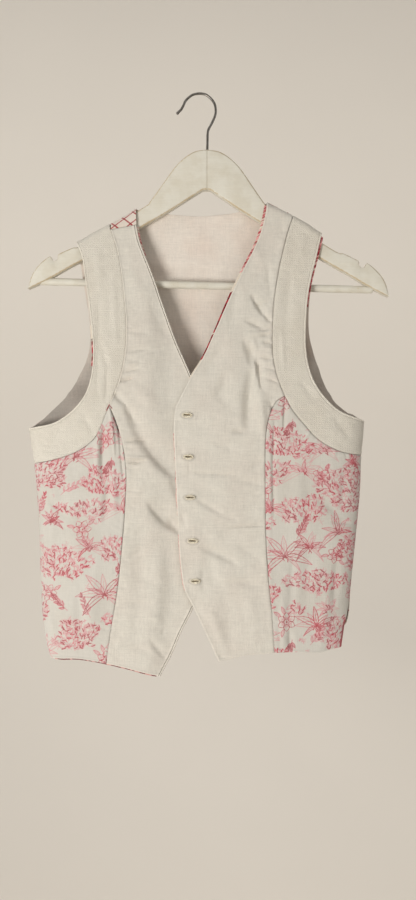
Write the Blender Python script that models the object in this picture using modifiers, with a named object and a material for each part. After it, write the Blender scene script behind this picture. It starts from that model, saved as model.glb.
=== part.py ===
"""A gilet on a wooden clothes hanger.

The origin is the inside top of the hanger's hook, where it hangs. +Z is up and -Y is the front.
Left and right are the wearer's, so the wearer's right is at -X.
Each cloth piece is a thin wall: its outline is four seam lines, and its depth is worked out from
the section of the garment at that height.
"""

import math
from collections import namedtuple

import bmesh
import bpy
from mathutils import Vector

for old in list(bpy.data.objects):
    bpy.data.objects.remove(old, do_unlink=True)

# ---------------------------------------------------------------- sizes, in millimetres
MM = 0.001
FRONT_WALL = 1.6        # outer cloth and its facing, pressed together
BACK_WALL = 1.0
LINING_WALL = 1.0
FACING_WALL = 0.8
SEAM_GAP = 0.3
EDGE_GAP = 0.25         # from a side or shoulder seam to the middle plane
SHOULDER_ROUND = 9.6    # radius of the cloth where it lies over the hanger's board
LAP_DEPTH = 5.8         # how far the under-lap lies behind the over-lap, with the buttons between
LAP_FROM, LAP_TO = -64.0, -30.0
BUTTON_ACROSS, BUTTON_THICK = 18.0, 2.8
BACK_HEM_RISE = 22.0    # the back's hem is higher at its middle than at its sides
BOARD_THICK = 12.0
BOARD_EDGE = 2.4
BAR_ACROSS = 9.0
WIRE = 3.0
HANG_TILT = math.radians(1.25)      # the hanger hangs a little low at +X
ARM_RIGHT, ARM_LEFT = 0.977, 1.024  # the two arms differ a little

At = namedtuple("At", "x z")
Deep = namedtuple("Deep", "z front back")


def line(*rows):
    return [At(*row) for row in rows]


# How far the cloth swells in front of and behind the hanger's plane at each height.
SWELL = [Deep(*row) for row in (
    (-60, 0, 0), (-140, 0, 0), (-200, 4, 4), (-280, 10, 8), (-340, 15, 11), (-400, 18, 14),
    (-480, 17, 15), (-560, 15, 14), (-620, 14, 13), (-720, 13, 12))]

# The top of the shoulders, from the right corner to the left one, and over the neck between them.
RIDGE = line((-215, -212), (-147, -177.5), (-127, -166), (-107, -155.5), (-91, -147), (-75.5, -136.5),
             (-60, -120), (-36, -90), (10, -60), (56, -90), (72, -113), (82, -129), (97, -137),
             (114, -146), (131, -155.5), (147, -166.5), (215, -205))

# Seam lines and edges, each from the top or the middle outwards.
NECK_RIGHT = line((-74.5, -158), (-70.5, -177), (-64.5, -193.5), (-53.5, -222), (-41, -257.5),
                  (-27, -296.5), (-8.5, -339), (5, -372))
EDGE_RIGHT = line((5, -372), (5, -484.5), (2.5, -588), (-7.5, -615), (-21, -642), (-31.5, -667), (-45.5, -693))
BAND_RIGHT = line((-105, -164), (-97, -190), (-92, -216.5), (-88.5, -246.5), (-86, -279), (-87, -311),
                  (-92.5, -340), (-105, -373.5))
PRINCESS_RIGHT = line((-105, -373.5), (-95, -398.5), (-88, -426), (-85, -456.5), (-86.5, -491.5),
                      (-90, -537.5), (-95.5, -588), (-101.5, -626), (-109, -677.5))
BAND_FOOT_RIGHT = line((-105, -373.5), (-117.5, -404.5), (-126.5, -416.5), (-142.5, -427.5),
                       (-162, -435), (-180.5, -439.5), (-197.5, -442))
ARM_RIGHT_FRONT = line((-147, -177.5), (-139, -196), (-134.5, -225), (-129.5, -258.5), (-125.5, -292),
                       (-124.5, -316.5), (-126.5, -339), (-133.5, -360.5), (-145, -376), (-159.5, -388),
                       (-175, -395.5), (-204, -400.5))
SIDE_RIGHT = line((-204, -400.5), (-200.5, -421.5), (-197.5, -442), (-194.5, -474), (-191.5, -522),
                  (-190, -570), (-188, -613.5), (-183.5, -645.5), (-175, -672))
HEM_RIGHT = line((-175, -672), (-162, -672.5), (-144.5, -672), (-128, -674), (-109, -677.5),
                 (-86.5, -682.5), (-67, -687.5), (-45.5, -693))

NECK_LEFT = line((82, -129), (77, -155), (68.5, -180.5), (56.5, -204.5), (45.5, -227), (32.5, -255),
                 (18.5, -287.5), (5, -317), (-8.5, -339), (-21, -363.5), (-27, -375.5))
EDGE_LEFT = line((-27, -375.5), (-28.8, -388), (-29, -414.5), (-26.5, -467), (-24, -523.5),
                 (-21, -564.5), (-17, -589), (-8, -608), (3, -630.5), (23.5, -675))
BAND_LEFT = line((113, -145.5), (106, -166), (98.5, -195), (93, -222.5), (89, -249), (87, -278.5),
                 (87, -313), (92, -339.5), (100.5, -362.5))
PRINCESS_LEFT = line((100.5, -362.5), (89.5, -371), (81.5, -391), (78, -420), (78, -491.5),
                     (79, -531.5), (82, -580), (86, -618.5), (89, -664.5))
BAND_FOOT_LEFT = line((100.5, -362.5), (111, -381), (124.5, -397.5), (138, -412), (155, -423),
                      (172.5, -429.5), (194.5, -432.5))
ARM_LEFT_FRONT = line((147, -166.5), (142.5, -184), (138.5, -201), (132, -227.5), (128, -253),
                      (126, -284.5), (126.5, -311), (131.5, -335.5), (140.5, -354), (154, -370.5),
                      (169.5, -382), (198, -391.5))
SIDE_LEFT = line((198, -391.5), (196.5, -414), (194.5, -432.5), (193, -474), (189, -519.5),
                 (185, -558), (181.5, -594), (177.5, -614), (173.3, -635.7), (169, -660))
HEM_LEFT = line((23.5, -675), (39, -671.5), (56, -667.5), (89, -664.5), (114.5, -664),
                (140, -665.5), (155, -662), (169, -660))

BACK_NECK = line((-75.5, -136.5), (-59.5, -138.5), (-37.5, -141), (-13, -143), (5.5, -143.5),
                 (33, -141), (50, -138), (68, -133), (82, -129))
ARM_RIGHT_BACK = line((-147, -177.5), (-139.5, -226), (-133, -268.5), (-131.5, -296.5), (-135.5, -315.5),
                      (-145.5, -337.5), (-159.5, -359), (-173, -372.5), (-188.5, -386), (-204, -400.5))
ARM_LEFT_BACK = line((147, -166.5), (138, -214), (133.5, -250), (133, -283), (138, -307), (145.5, -329),
                     (154, -349.5), (165.5, -368), (179.5, -379), (198, -391.5))
SIDE_LEFT_BACK = line((198, -391.5), (196.5, -414), (194.5, -432.5), (193, -474), (189, -519.5),
                      (185, -558), (181.5, -594), (181, -609), (179, -627), (175.5, -636))
SIDE_RIGHT_BACK = line((-204, -400.5), (-200.5, -421.5), (-197.5, -442), (-194.5, -474), (-191.5, -522),
                       (-190, -570), (-188, -613.5), (-186, -640))
YOKE_SEAM = line((-105, -164), (-74.5, -158))   # where the back comes forward over the right shoulder
BUTTONS = line((-13.5, -385), (-12, -434), (-10, -481.5), (-7, -532.5), (-4, -580))

# Half of the hanger's board, from the middle of its top along the arm, and back along the underside.
# Across and down are from the foot of the hook.
BOARD_TOP = line((0, 0), (12.6, -1.7), (23, -6.8), (32.2, -14.3), (40.2, -23), (48.3, -34.4), (55.8, -45.3),
                 (62, -54.2), (69.1, -63.8), (77, -71.0), (148, -115.8), (161.3, -120.5), (175.2, -126.6),
                 (179.5, -129.5), (180.2, -134.5), (182.8, -137), (186, -136.6), (188.2, -132.6),
                 (191, -132.4), (199.3, -138.7), (207.7, -148.2), (212.7, -158.6), (215.4, -170.8))
BOARD_UNDER = line((206.7, -167.4), (188.4, -158), (165.4, -144.6), (142.3, -131.8), (75.4, -92.8),
                   (42.5, -73.2), (21.7, -59.7), (4, -48.2))
FOOT = At(10.0, -67.0)               # the foot of the hook, from the origin
BAR_LINE = line((-197, -161.2), (202, -162.6))
HOOK = line((-37.7, 42.9), (-35.2, 45.8), (-32, 49.4), (-29.6, 54.3), (-27.2, 59.4), (-22.1, 64.6), (-17.8, 67.1),
            (-12.4, 68.2), (-7.6, 68.2), (-3.0, 67.0), (2.2, 63.2), (6.0, 58.9), (8.2, 54.4), (9.1, 47.8),
            (8.6, 43.1), (7.2, 38.7), (5.1, 33.9), (2.8, 29.3), (0.8, 25.3), (0, 20.2), (0, 11), (0, -12))


# ---------------------------------------------------------------- lines and sections
def lerp(a, b, t):
    return a + (b - a) * t


def along_x(rows, x):
    """Height of a line at x."""
    for a, b in zip(rows, rows[1:]):
        if x <= b.x or b is rows[-1]:
            return lerp(a.z, b.z, (x - a.x) / (b.x - a.x))


def along_z(rows, z):
    """Where an edge is at height z, held straight up above its top."""
    if z >= rows[0].z:
        return rows[0].x
    for a, b in zip(rows, rows[1:]):
        if z >= b.z or b is rows[-1]:
            return lerp(a.x, b.x, min(1.0, (z - a.z) / (b.z - a.z)))


def swell(z, column):
    rows = SWELL
    if z >= rows[0].z:
        return getattr(rows[0], column)
    for a, b in zip(rows, rows[1:]):
        if z >= b.z:
            t = (z - a.z) / (b.z - a.z)
            return lerp(getattr(a, column), getattr(b, column), t)
    return getattr(rows[-1], column)


def section(x, z, column):
    """Depth of the cloth at x and z, in front of or behind the middle plane, without its sign."""
    right, left = along_z(SIDE_RIGHT_BACK, z), along_z(SIDE_LEFT_BACK, z)
    u = min(1.0, abs((x - (right + left) / 2) / ((left - right) / 2)))
    down = min(max(along_x(RIDGE, x) - z, 0.0), SHOULDER_ROUND)
    over = math.sqrt(SHOULDER_ROUND ** 2 - (SHOULDER_ROUND - down) ** 2)
    return over * math.sqrt(1 - u ** 12) + swell(z, column) * math.sqrt(1 - u ** 5)


def lap(x):
    t = min(max((x - LAP_FROM) / (LAP_TO - LAP_FROM), 0.0), 1.0)
    return LAP_DEPTH * t * t * (3 - 2 * t)


def front(x, z):
    return -section(x, z, "front")


def front_under(x, z):
    return -section(x, z, "front") + lap(x)


def back(x, z):
    return section(x, z, "back")


def outward(depth, x, z, sign):
    """The cloth's outward direction. It is worked out a hair inside the edges, where the section turns round."""
    h = 0.02
    right, left = along_z(SIDE_RIGHT_BACK, z), along_z(SIDE_LEFT_BACK, z)
    x = min(max(x, right + 0.06), left - 0.06)
    z = min(z, along_x(RIDGE, x) - 0.06)
    by_x = (depth(x + h, z) - depth(x - h, z)) / (2 * h)
    by_z = (depth(x, z + h) - depth(x, z - h)) / (2 * h)
    return Vector((by_x, -1, by_z)).normalized() * (1 if sign < 0 else -1)


def smooth(rows):
    """A smooth line through the rows, as a function of the part of its length from 0 to 1."""
    points = [Vector((row.x, row.z)) for row in rows]
    ends = [points[0] * 2 - points[1]] + points + [points[-1] * 2 - points[-2]]
    lengths = [0.0]
    for a, b in zip(points, points[1:]):
        lengths.append(lengths[-1] + (b - a).length)

    def at(t):
        d = t * lengths[-1]
        i = 0
        while i < len(points) - 2 and d > lengths[i + 1]:
            i += 1
        f = (d - lengths[i]) / (lengths[i + 1] - lengths[i])
        p0, p1, p2, p3 = ends[i:i + 4]
        return 0.5 * (2 * p1 + (p2 - p0) * f + (2 * p0 - 5 * p1 + 4 * p2 - p3) * f * f
                      + (3 * p1 - 3 * p2 + p3 - p0) * f ** 3)
    return at


def sample(rows, steps):
    at = smooth(rows)
    return [at(t) for t in steps]


def even(n, ease=1.0, from_end=False):
    """n steps from 0 to 1, closer together at the start, or at the end, as ease grows."""
    if from_end:
        return [1 - ((n - i) / n) ** ease for i in range(n + 1)]
    return [(i / n) ** ease for i in range(n + 1)]


def join(*runs):
    out = list(runs[0])
    for run in runs[1:]:
        out += run[1:]
    return out


def fill(top, bottom, left, right):
    """The rows of points between four edges: each point is weighed between the edges it lies between."""
    def parts(a, b):
        def part(run):
            d = [0.0]
            for p, q in zip(run, run[1:]):
                d.append(d[-1] + (q - p).length)
            return [v / max(d[-1], 1e-9) for v in d]
        return [(p + q) / 2 for p, q in zip(part(a), part(b))]
    across, down = parts(top, bottom), parts(left, right)
    grid = []
    for j, v in enumerate(down):
        row = []
        for i, u in enumerate(across):
            p = (top[i] * (1 - v) + bottom[i] * v + left[j] * (1 - u) + right[j] * u
                 - (top[0] * (1 - u) * (1 - v) + top[-1] * u * (1 - v)
                    + bottom[0] * (1 - u) * v + bottom[-1] * u * v))
            row.append(p)
        grid.append(row)
    return grid


def trim(grid, left=True, right=True, top=True, bottom=True):
    """Draws the chosen edges in by a seam's half gap, towards the points beside them."""
    half = SEAM_GAP * 0.75
    moved = [[p.copy() for p in row] for row in grid]
    for row, new in zip(grid, moved):
        if left:
            new[0] += (row[1] - row[0]).normalized() * half
        if right:
            new[-1] += (row[-2] - row[-1]).normalized() * half
    for i in range(len(grid[0])):
        if top:
            moved[0][i] += (grid[1][i] - grid[0][i]).normalized() * half
        if bottom:
            moved[-1][i] += (grid[-2][i] - grid[-1][i]).normalized() * half
    return moved


# ---------------------------------------------------------------- solids
parts = bpy.data.collections.new("gilet_on_hanger")
cutters = bpy.data.collections.new("cutters")
bpy.context.scene.collection.children.link(parts)
bpy.context.scene.collection.children.link(cutters)


def finish_of(name, colour, rough, metal=0.0):
    material = bpy.data.materials.get(name) or bpy.data.materials.new(name)
    material.use_nodes = True
    shader = material.node_tree.nodes["Principled BSDF"]
    shader.inputs["Base Color"].default_value = (*colour, 1)
    shader.inputs["Roughness"].default_value = rough
    shader.inputs["Metallic"].default_value = metal
    return material


def add(name, mesh, look, into=parts):
    obj = bpy.data.objects.new(name, mesh)
    into.objects.link(obj)
    mesh.materials.clear()
    mesh.materials.append(finish_of(name + "_finish", *look))
    return obj


def wall(name, points, directions, faces, thick, look):
    """A closed wall: the outer points, the same points moved in by its thickness, and a rim."""
    bm = bmesh.new()
    outer = [bm.verts.new(p * MM) for p in points]
    inner = [bm.verts.new((p - n * thick) * MM) for p, n in zip(points, directions)]
    uses = {}
    halves = []
    for a, b, c, d in faces:
        if (points[a] - points[c]).length <= (points[b] - points[d]).length:
            halves += [[a, b, c], [a, c, d]]
        else:
            halves += [[a, b, d], [b, c, d]]
    for face in halves:
        bm.faces.new([outer[i] for i in face])
        bm.faces.new([inner[i] for i in reversed(face)])
        for a, b in zip(face, face[1:] + face[:1]):
            key = (min(a, b), max(a, b))
            uses[key] = None if key in uses else (a, b)     # an edge met once is on the rim
    for pair in uses.values():
        if pair:
            a, b = pair
            bm.faces.new((outer[b], outer[a], inner[a], inner[b]))
    if bm.calc_volume(signed=True) < 0:
        bmesh.ops.reverse_faces(bm, faces=bm.faces)
    mesh = bpy.data.meshes.new(name)
    bm.to_mesh(mesh)
    bm.free()
    mesh.shade_smooth()
    mesh.set_sharp_from_angle(angle=math.radians(40))
    return add(name, mesh, look)


def clear_middle(y, sign, gap=EDGE_GAP):
    return min(y, -gap) if sign < 0 else max(y, gap)


def lift(grid, depth, sign, gap=EDGE_GAP):
    """The grid's points on the cloth's surface, each with the cloth's outward direction there."""
    return [[(Vector((p.x, clear_middle(depth(p.x, p.y), sign, gap), p.y)), outward(depth, p.x, p.y, sign))
             for p in row] for row in grid]


def lifted_wall(name, lifted, thick, look, set_in=0.0, more=None):
    """A wall on lifted rows. set_in moves it inside their surface."""
    wide = len(lifted[0])
    points = [p - n * set_in for row in lifted for p, n in row]
    directions = [n for row in lifted for p, n in row]
    faces = [[a, a + 1, a + wide + 1, a + wide]
             for j in range(len(lifted) - 1) for a in range(j * wide, j * wide + wide - 1)]
    if more:
        more(points, directions, faces)
    return wall(name, points, directions, faces, thick, look)


def grid_wall(name, grid, depth, sign, thick, look, set_in=0.0, more=None):
    return lifted_wall(name, lift(grid, depth, sign), thick, look, set_in, more)


# Colours: linear, from the cloths' own tones.
LINEN = ((0.66, 0.61, 0.51), 0.9)
HUCK = ((0.58, 0.55, 0.44), 0.92)
PRINT = ((0.68, 0.55, 0.53), 0.9)
LINING = ((0.66, 0.55, 0.46), 0.9)
CHECK = ((0.62, 0.50, 0.45), 0.9)
RED = ((0.38, 0.05, 0.07), 0.9)
HORN = ((0.33, 0.21, 0.12), 0.4)
PAINT = ((0.72, 0.66, 0.53), 0.5)
STEEL = ((0.24, 0.23, 0.22), 0.3, 1.0)

ROUND_ROWS = [0, 0.0035, 0.011, 0.025, 0.06]          # rows that turn over the shoulder


def rows_down(n):
    last = ROUND_ROWS[-1]
    return ROUND_ROWS + [last + (1 - last) * (i + 1) / n for i in range(n)]


def matched(rows, run):
    """A line sampled at the same parts of its length as another run of points."""
    d = [0.0]
    for p, q in zip(run, run[1:]):
        d.append(d[-1] + (q - p).length)
    return sample(rows, [v / d[-1] for v in d])


# Neighbours share the points of the seam between them, so each seam is sampled once.
near_side, far_side = even(7, 1.7), even(7, 1.7, True)
band_right, princess_right = sample(BAND_RIGHT, even(9)), sample(PRINCESS_RIGHT, even(13))
band_left, princess_left = sample(BAND_LEFT, rows_down(9)), sample(PRINCESS_LEFT, even(13))
foot_right, foot_left = sample(BAND_FOOT_RIGHT, far_side), sample(BAND_FOOT_LEFT, far_side)

# Centre fronts: shoulder at the top, neck and front edge on one side, band and princess seam on the other.
grid_wall("front_right",
          trim(fill(sample(YOKE_SEAM, even(7)), sample(HEM_RIGHT[4:], even(7)),
                    join(band_right, princess_right),
                    join(sample(NECK_RIGHT, even(9)), sample(EDGE_RIGHT, even(13)))),
               bottom=False, right=False),
          front_under, -1, FRONT_WALL, LINEN)
grid_wall("front_left",
          trim(fill(sample([At(82, -129), At(97, -137), At(113, -145.5)], even(7)),
                    sample(HEM_LEFT[:4], even(7)),
                    join(sample(NECK_LEFT, rows_down(9)), sample(EDGE_LEFT, even(13))),
                    join(band_left, princess_left)),
               left=False, top=False, bottom=False),
          front, -1, FRONT_WALL, LINEN)

# Side fronts: band seam at the top, side seam outside, princess seam inside.
grid_wall("side_front_right",
          trim(fill(foot_right[::-1], sample(HEM_RIGHT[:5], near_side),
                    sample(SIDE_RIGHT[2:], even(13)), princess_right),
               left=False, bottom=False),
          front, -1, FRONT_WALL, PRINT)
grid_wall("side_front_left",
          trim(fill(foot_left, sample(HEM_LEFT[3:], far_side),
                    princess_left, sample(SIDE_LEFT[2:], even(13))),
               right=False, bottom=False),
          front, -1, FRONT_WALL, PRINT)

# Armhole bands: from the shoulder down and round to the side seam.
over_right = [Vector(p) for p in ((-106.8, -155.5), (-106.5, -156.6), (-106.0, -159.6))]
seam = over_right + join(band_right, foot_right)
grid_wall("armhole_band_right",
          trim(fill(matched(ARM_RIGHT_FRONT, seam), seam,
                    sample([At(-147, -177.5), At(-127, -166), At(-106.8, -155.5)], even(5)),
                    sample(SIDE_RIGHT[:3], even(5))),
               left=False, right=False, top=False),
          front, -1, FRONT_WALL, HUCK)
seam = join(band_left, foot_left)
grid_wall("armhole_band_left",
          trim(fill(matched(ARM_LEFT_FRONT, seam), seam,
                    sample([At(147, -166.5), At(131, -155.5), At(113, -145.5)], even(5)),
                    sample(SIDE_LEFT[:3], even(5))),
               left=False, right=False, top=False),
          front, -1, FRONT_WALL, HUCK)

# Back: one wall from the shoulders to the hem. Beside the right neck it comes forward over the shoulder.
NECK_STEPS = [0, 0.012, 0.035, 0.1, 0.3, 0.5, 0.7, 0.9, 0.965, 0.988, 1]    # closer where it turns off the board


def back_edges(z_hem_right, z_hem_left, shoulder_right, neck, shoulder_left, rows):
    top = join(sample(shoulder_right[0], even(3)), sample(shoulder_right[1], even(3)),
               sample(neck, NECK_STEPS), sample(shoulder_left, even(5)))
    xs = [p.x for p in top]
    bottom = []
    for i, x in enumerate(xs):
        t = (x - xs[0]) / (xs[-1] - xs[0])
        t = 0.5 - 0.5 * math.cos(math.pi * t) * (1 - 0.25 * math.sin(math.pi * t))
        x_end = lerp(along_z(SIDE_RIGHT_BACK, z_hem_right), along_z(SIDE_LEFT_BACK, z_hem_left), t)
        bottom.append(Vector((x_end, lerp(z_hem_right, z_hem_left, t) + BACK_HEM_RISE * math.sin(math.pi * t))))
    left = join(sample(ARM_RIGHT_BACK, rows), sample(SIDE_RIGHT_BACK, even(8)))
    right = join(sample(ARM_LEFT_BACK, rows), sample(SIDE_LEFT_BACK, even(8)))
    return fill(top, bottom, left, right)


ridge_right_outer = [At(-147, -177.5), At(-127, -166), At(-105, -154.4)]
ridge_right_inner = [At(-105, -154.4), At(-91, -147), At(-75.5, -136.5)]
ridge_left = [At(82, -129), At(97, -137), At(114, -146), At(131, -155.5), At(147, -166.5)]
back_grid = back_edges(-640, -636, (ridge_right_outer, ridge_right_inner), BACK_NECK, ridge_left,
                       [0, 0.008, 0.024, 0.055, 0.14, 0.27, 0.4, 0.54, 0.68, 0.82, 1])


def come_forward(points, directions, faces):
    """The strip of the back beside the right neck that turns over the shoulder to the front."""
    first, count = 3, 4
    levels = (0.02, 0.10, 0.28, 0.6, 1.0)
    above = [first + i for i in range(count)]
    for level in levels:
        row = []
        for i in range(count):
            start = points[first + i]
            x = lerp(start.x, -105 + 30.5 * i / 3, level)
            seam_z = lerp(-164, -158, i / 3) + SEAM_GAP * 0.8
            z = lerp(start.z, seam_z, level)
            x = x + (0.25 if i == 0 else 0)
            row.append(len(points))
            points.append(Vector((x, min(front(x, z), -EDGE_GAP), z)))
            directions.append(outward(front, x, z, -1))
        for i in range(count - 1):
            faces.append([row[i], row[i + 1], above[i + 1], above[i]])
        above = row


grid_wall("back", back_grid, back, 1, BACK_WALL, CHECK, more=come_forward)

# The lining lies just inside the back, on its points. Under each shoulder it stops below the seam.
NECK_COLUMNS = range(9, 14)


def mix(a, b, t):
    return a[0].lerp(b[0], t), a[1].lerp(b[1], t).normalized()


def lining_rows(rows):
    out = [[], [], [], []] + rows[4:]
    for i in range(len(rows[0])):
        if i in NECK_COLUMNS:
            own = [mix(rows[0][i], rows[1][i], 0.3), rows[1][i], rows[2][i], rows[3][i]]
        else:
            own = [mix(rows[3][i], rows[4][i], t) for t in (0, 0.25, 0.5, 0.75)]
        for row, pair in zip(out, own):
            row.append(pair)
    return out


lifted_wall("back_lining", lining_rows(lift(back_grid, back, 1)), LINING_WALL, LINING,
            set_in=BACK_WALL + SEAM_GAP * 4)


# Facings: narrow strips behind an edge that show just beyond it. They are made from the edge's own points.
def facing(name, rows, steps, beyond, width, out_sign, depth, look):
    at = smooth(rows)
    grid = []
    for k, t in enumerate(steps):
        p = at(t)
        ahead = (at(min(t + 0.01, 1)) - at(max(t - 0.01, 0))).normalized()
        side = Vector((ahead.y, -ahead.x)) * out_sign
        show = lerp(beyond[0], beyond[1], (t - steps[0]) / (steps[-1] - steps[0]))
        grid.append([p + side * show, p - side * width * 0.5, p - side * width])
    return grid_wall(name, grid, depth, -1, FACING_WALL, look, set_in=FRONT_WALL + SEAM_GAP * 1.8)


facing("facing_neck_left", NECK_LEFT, [0.06 + 0.80 * i / 14 for i in range(15)], (2.2, 1.1), 5, 1, front, RED)
facing("facing_neck_right", NECK_RIGHT, [0.01 + 0.16 * i / 4 for i in range(5)], (1.2, 0.8), 5, -1, front_under, RED)
facing("facing_armhole_left", ARM_LEFT_FRONT, [0.05 + 0.30 * i / 7 for i in range(8)], (2.6, 1.4), 6, -1, front, RED)
facing("facing_armhole_right", ARM_RIGHT_FRONT, [0.38 + 0.14 * i / 5 for i in range(6)], (1.2, 1.0), 6, 1, front, RED)
facing("facing_edge_left", EDGE_LEFT, [0.10 + 0.60 * i / 12 for i in range(13)], (0.7, 0.6), 3.6, 1, front, RED)
facing("facing_hem_right", HEM_RIGHT, [0.05 + 0.90 * i / 12 for i in range(13)], (1.0, 1.2), 5, 1, front_under, RED)

# Buttons, between the two fronts.
for number, place in enumerate(BUTTONS, 1):
    bm = bmesh.new()
    bmesh.ops.create_cone(bm, cap_ends=True, segments=28, radius1=BUTTON_ACROSS / 2 * MM,
                          radius2=BUTTON_ACROSS / 2 * MM, depth=BUTTON_THICK * MM)
    mesh = bpy.data.meshes.new(f"button_{number}")
    bm.to_mesh(mesh)
    bm.free()
    mesh.shade_smooth()
    mesh.set_sharp_from_angle(angle=math.radians(40))
    button = add(f"button_{number}", mesh, HORN)
    depth = front(place.x, place.z) + FRONT_WALL + 0.55 + BUTTON_THICK / 2
    button.location = (place.x * MM, depth * MM, place.z * MM)
    button.rotation_euler = (math.radians(90), 0, 0)

# ---------------------------------------------------------------- the hanger
hanger = bpy.data.objects.new("hanger_frame", None)
parts.objects.link(hanger)
hanger.location = (FOOT.x * MM, 0, FOOT.z * MM)
hanger.rotation_euler = (0, HANG_TILT, 0)


def curve_mesh(name, curve):
    """The curve's shape as a mesh, with its caps joined on."""
    holder = bpy.data.objects.new(name + "_curve", curve)
    parts.objects.link(holder)
    bpy.context.view_layer.update()
    mesh = bpy.data.meshes.new_from_object(holder.evaluated_get(bpy.context.evaluated_depsgraph_get()))
    bpy.data.objects.remove(holder)
    bpy.data.curves.remove(curve)
    bm = bmesh.new()
    bm.from_mesh(mesh)
    bmesh.ops.remove_doubles(bm, verts=bm.verts, dist=0.00001)
    bmesh.ops.recalc_face_normals(bm, faces=bm.faces)
    bm.to_mesh(mesh)
    bm.free()
    mesh.name = name
    return mesh


outline = bpy.data.curves.new("board_outline", "CURVE")
outline.dimensions = "2D"
outline.fill_mode = "BOTH"
outline.extrude = BOARD_THICK / 2 * MM
half_line = BOARD_TOP + BOARD_UNDER
run = ([Vector((p.x * ARM_LEFT, p.z)) for p in half_line]
       + [Vector((-p.x * ARM_RIGHT, p.z)) for p in reversed(half_line[1:])])
spline = outline.splines.new("POLY")
spline.points.add(len(run) - 1)
for point, p in zip(spline.points, run):
    point.co = (p.x * MM, p.y * MM, 0, 1)
spline.use_cyclic_u = True
board = add("hanger_body", curve_mesh("hanger_body", outline), PAINT)
board.parent = hanger
board.rotation_euler = (math.radians(90), 0, 0)
edge = board.modifiers.new("rounded_edge", "BEVEL")
edge.width = BOARD_EDGE * MM
edge.segments = 2
edge.limit_method = "ANGLE"
edge.angle_limit = math.radians(60)


def rod_cutter(name, start, end, across):
    """A hidden rod that cuts a hole."""
    a, b = Vector((start[0], 0, start[1])) * MM, Vector((end[0], 0, end[1])) * MM
    bm = bmesh.new()
    bmesh.ops.create_cone(bm, cap_ends=True, segments=20, radius1=across / 2 * MM, radius2=across / 2 * MM,
                          depth=(b - a).length)
    mesh = bpy.data.meshes.new(name)
    bm.to_mesh(mesh)
    bm.free()
    obj = bpy.data.objects.new(name, mesh)
    cutters.objects.link(obj)
    obj.parent = hanger
    obj.location = (a + b) / 2
    obj.rotation_mode = "QUATERNION"
    obj.rotation_quaternion = (b - a).to_track_quat("Z", "Y")
    obj.hide_render = True
    obj.display_type = "WIRE"
    return obj


bar_from, bar_to = BAR_LINE
for name, start, end, across in (
        ("bar_hole", (bar_from.x - 0.6, bar_from.z), (bar_to.x + 0.6, bar_to.z), BAR_ACROSS + 0.7),
        ("hook_hole", (0, -12.6), (0, 6), WIRE + 0.7)):
    cut = board.modifiers.new(name, "BOOLEAN")
    cut.operation = "DIFFERENCE"
    cut.solver = "EXACT"
    cut.object = rod_cutter(name, start, end, across)

bm = bmesh.new()
length = (Vector((bar_to.x, bar_to.z)) - Vector((bar_from.x, bar_from.z))).length
bmesh.ops.create_cone(bm, cap_ends=True, segments=20, radius1=BAR_ACROSS / 2 * MM, radius2=BAR_ACROSS / 2 * MM,
                      depth=length * MM)
mesh = bpy.data.meshes.new("hanger_bar")
bm.to_mesh(mesh)
bm.free()
mesh.shade_smooth()
mesh.set_sharp_from_angle(angle=math.radians(40))
bar = add("hanger_bar", mesh, PAINT)
bar.parent = hanger
bar.location = ((bar_from.x + bar_to.x) / 2 * MM, 0, (bar_from.z + bar_to.z) / 2 * MM)
bar.rotation_mode = "QUATERNION"
bar.rotation_quaternion = Vector((bar_to.x - bar_from.x, 0, bar_to.z - bar_from.z)).to_track_quat("Z", "Y")

wire = bpy.data.curves.new("hook_line", "CURVE")
wire.dimensions = "3D"
wire.bevel_depth = WIRE / 2 * MM
wire.bevel_resolution = 3
wire.use_fill_caps = True
spline = wire.splines.new("POLY")
spline.points.add(len(HOOK) + 2)
tip = Vector((HOOK[1].x - HOOK[0].x, HOOK[1].z - HOOK[0].z)).normalized()
ball = ((-2.3, 0.35), (-1.7, 1.15), (0.0, 1.5))         # along the wire, and times its radius
places = [(HOOK[0].x + tip.x * d, HOOK[0].z + tip.y * d, r) for d, r in ball]
places += [(p.x, p.z, 1.0) for p in HOOK[1:]]
places.insert(3, (HOOK[0].x + tip.x * 2.0, HOOK[0].z + tip.y * 2.0, 1.1))
for point, (x, z, r) in zip(spline.points, places):
    point.co = (x * MM, 0, z * MM, 1)
    point.radius = r
hook = add("hanger_hook", curve_mesh("hanger_hook", wire), STEEL)
hook.data.shade_smooth()
hook.data.set_sharp_from_angle(angle=math.radians(40))
hook.parent = hanger
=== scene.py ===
"""The looks of a gilet on a wooden hanger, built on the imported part.

Sizes are in millimetres until a mesh is made. Left and right are the wearer's, so the wearer's right
is at -X, and -Y is the front. Each cloth is a thin closed shell on its solid's form: four seam lines
give its outline, the section of the garment gives its depth, and a table of creases gives its relief.
"""

import math

import bmesh
import bpy
import numpy as np
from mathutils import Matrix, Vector
from mathutils.geometry import delaunay_2d_cdt


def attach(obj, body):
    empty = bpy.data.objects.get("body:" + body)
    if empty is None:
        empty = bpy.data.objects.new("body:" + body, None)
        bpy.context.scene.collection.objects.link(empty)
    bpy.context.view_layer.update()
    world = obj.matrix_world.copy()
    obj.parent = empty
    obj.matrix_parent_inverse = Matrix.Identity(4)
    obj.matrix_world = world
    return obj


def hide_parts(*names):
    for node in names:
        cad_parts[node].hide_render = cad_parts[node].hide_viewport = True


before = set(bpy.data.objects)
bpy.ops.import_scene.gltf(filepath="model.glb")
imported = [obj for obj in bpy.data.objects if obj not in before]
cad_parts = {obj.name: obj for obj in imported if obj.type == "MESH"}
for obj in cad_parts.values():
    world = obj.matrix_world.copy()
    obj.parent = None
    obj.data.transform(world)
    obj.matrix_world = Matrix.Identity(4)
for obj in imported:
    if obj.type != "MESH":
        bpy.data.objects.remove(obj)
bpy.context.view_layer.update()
MM = 0.001

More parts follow.
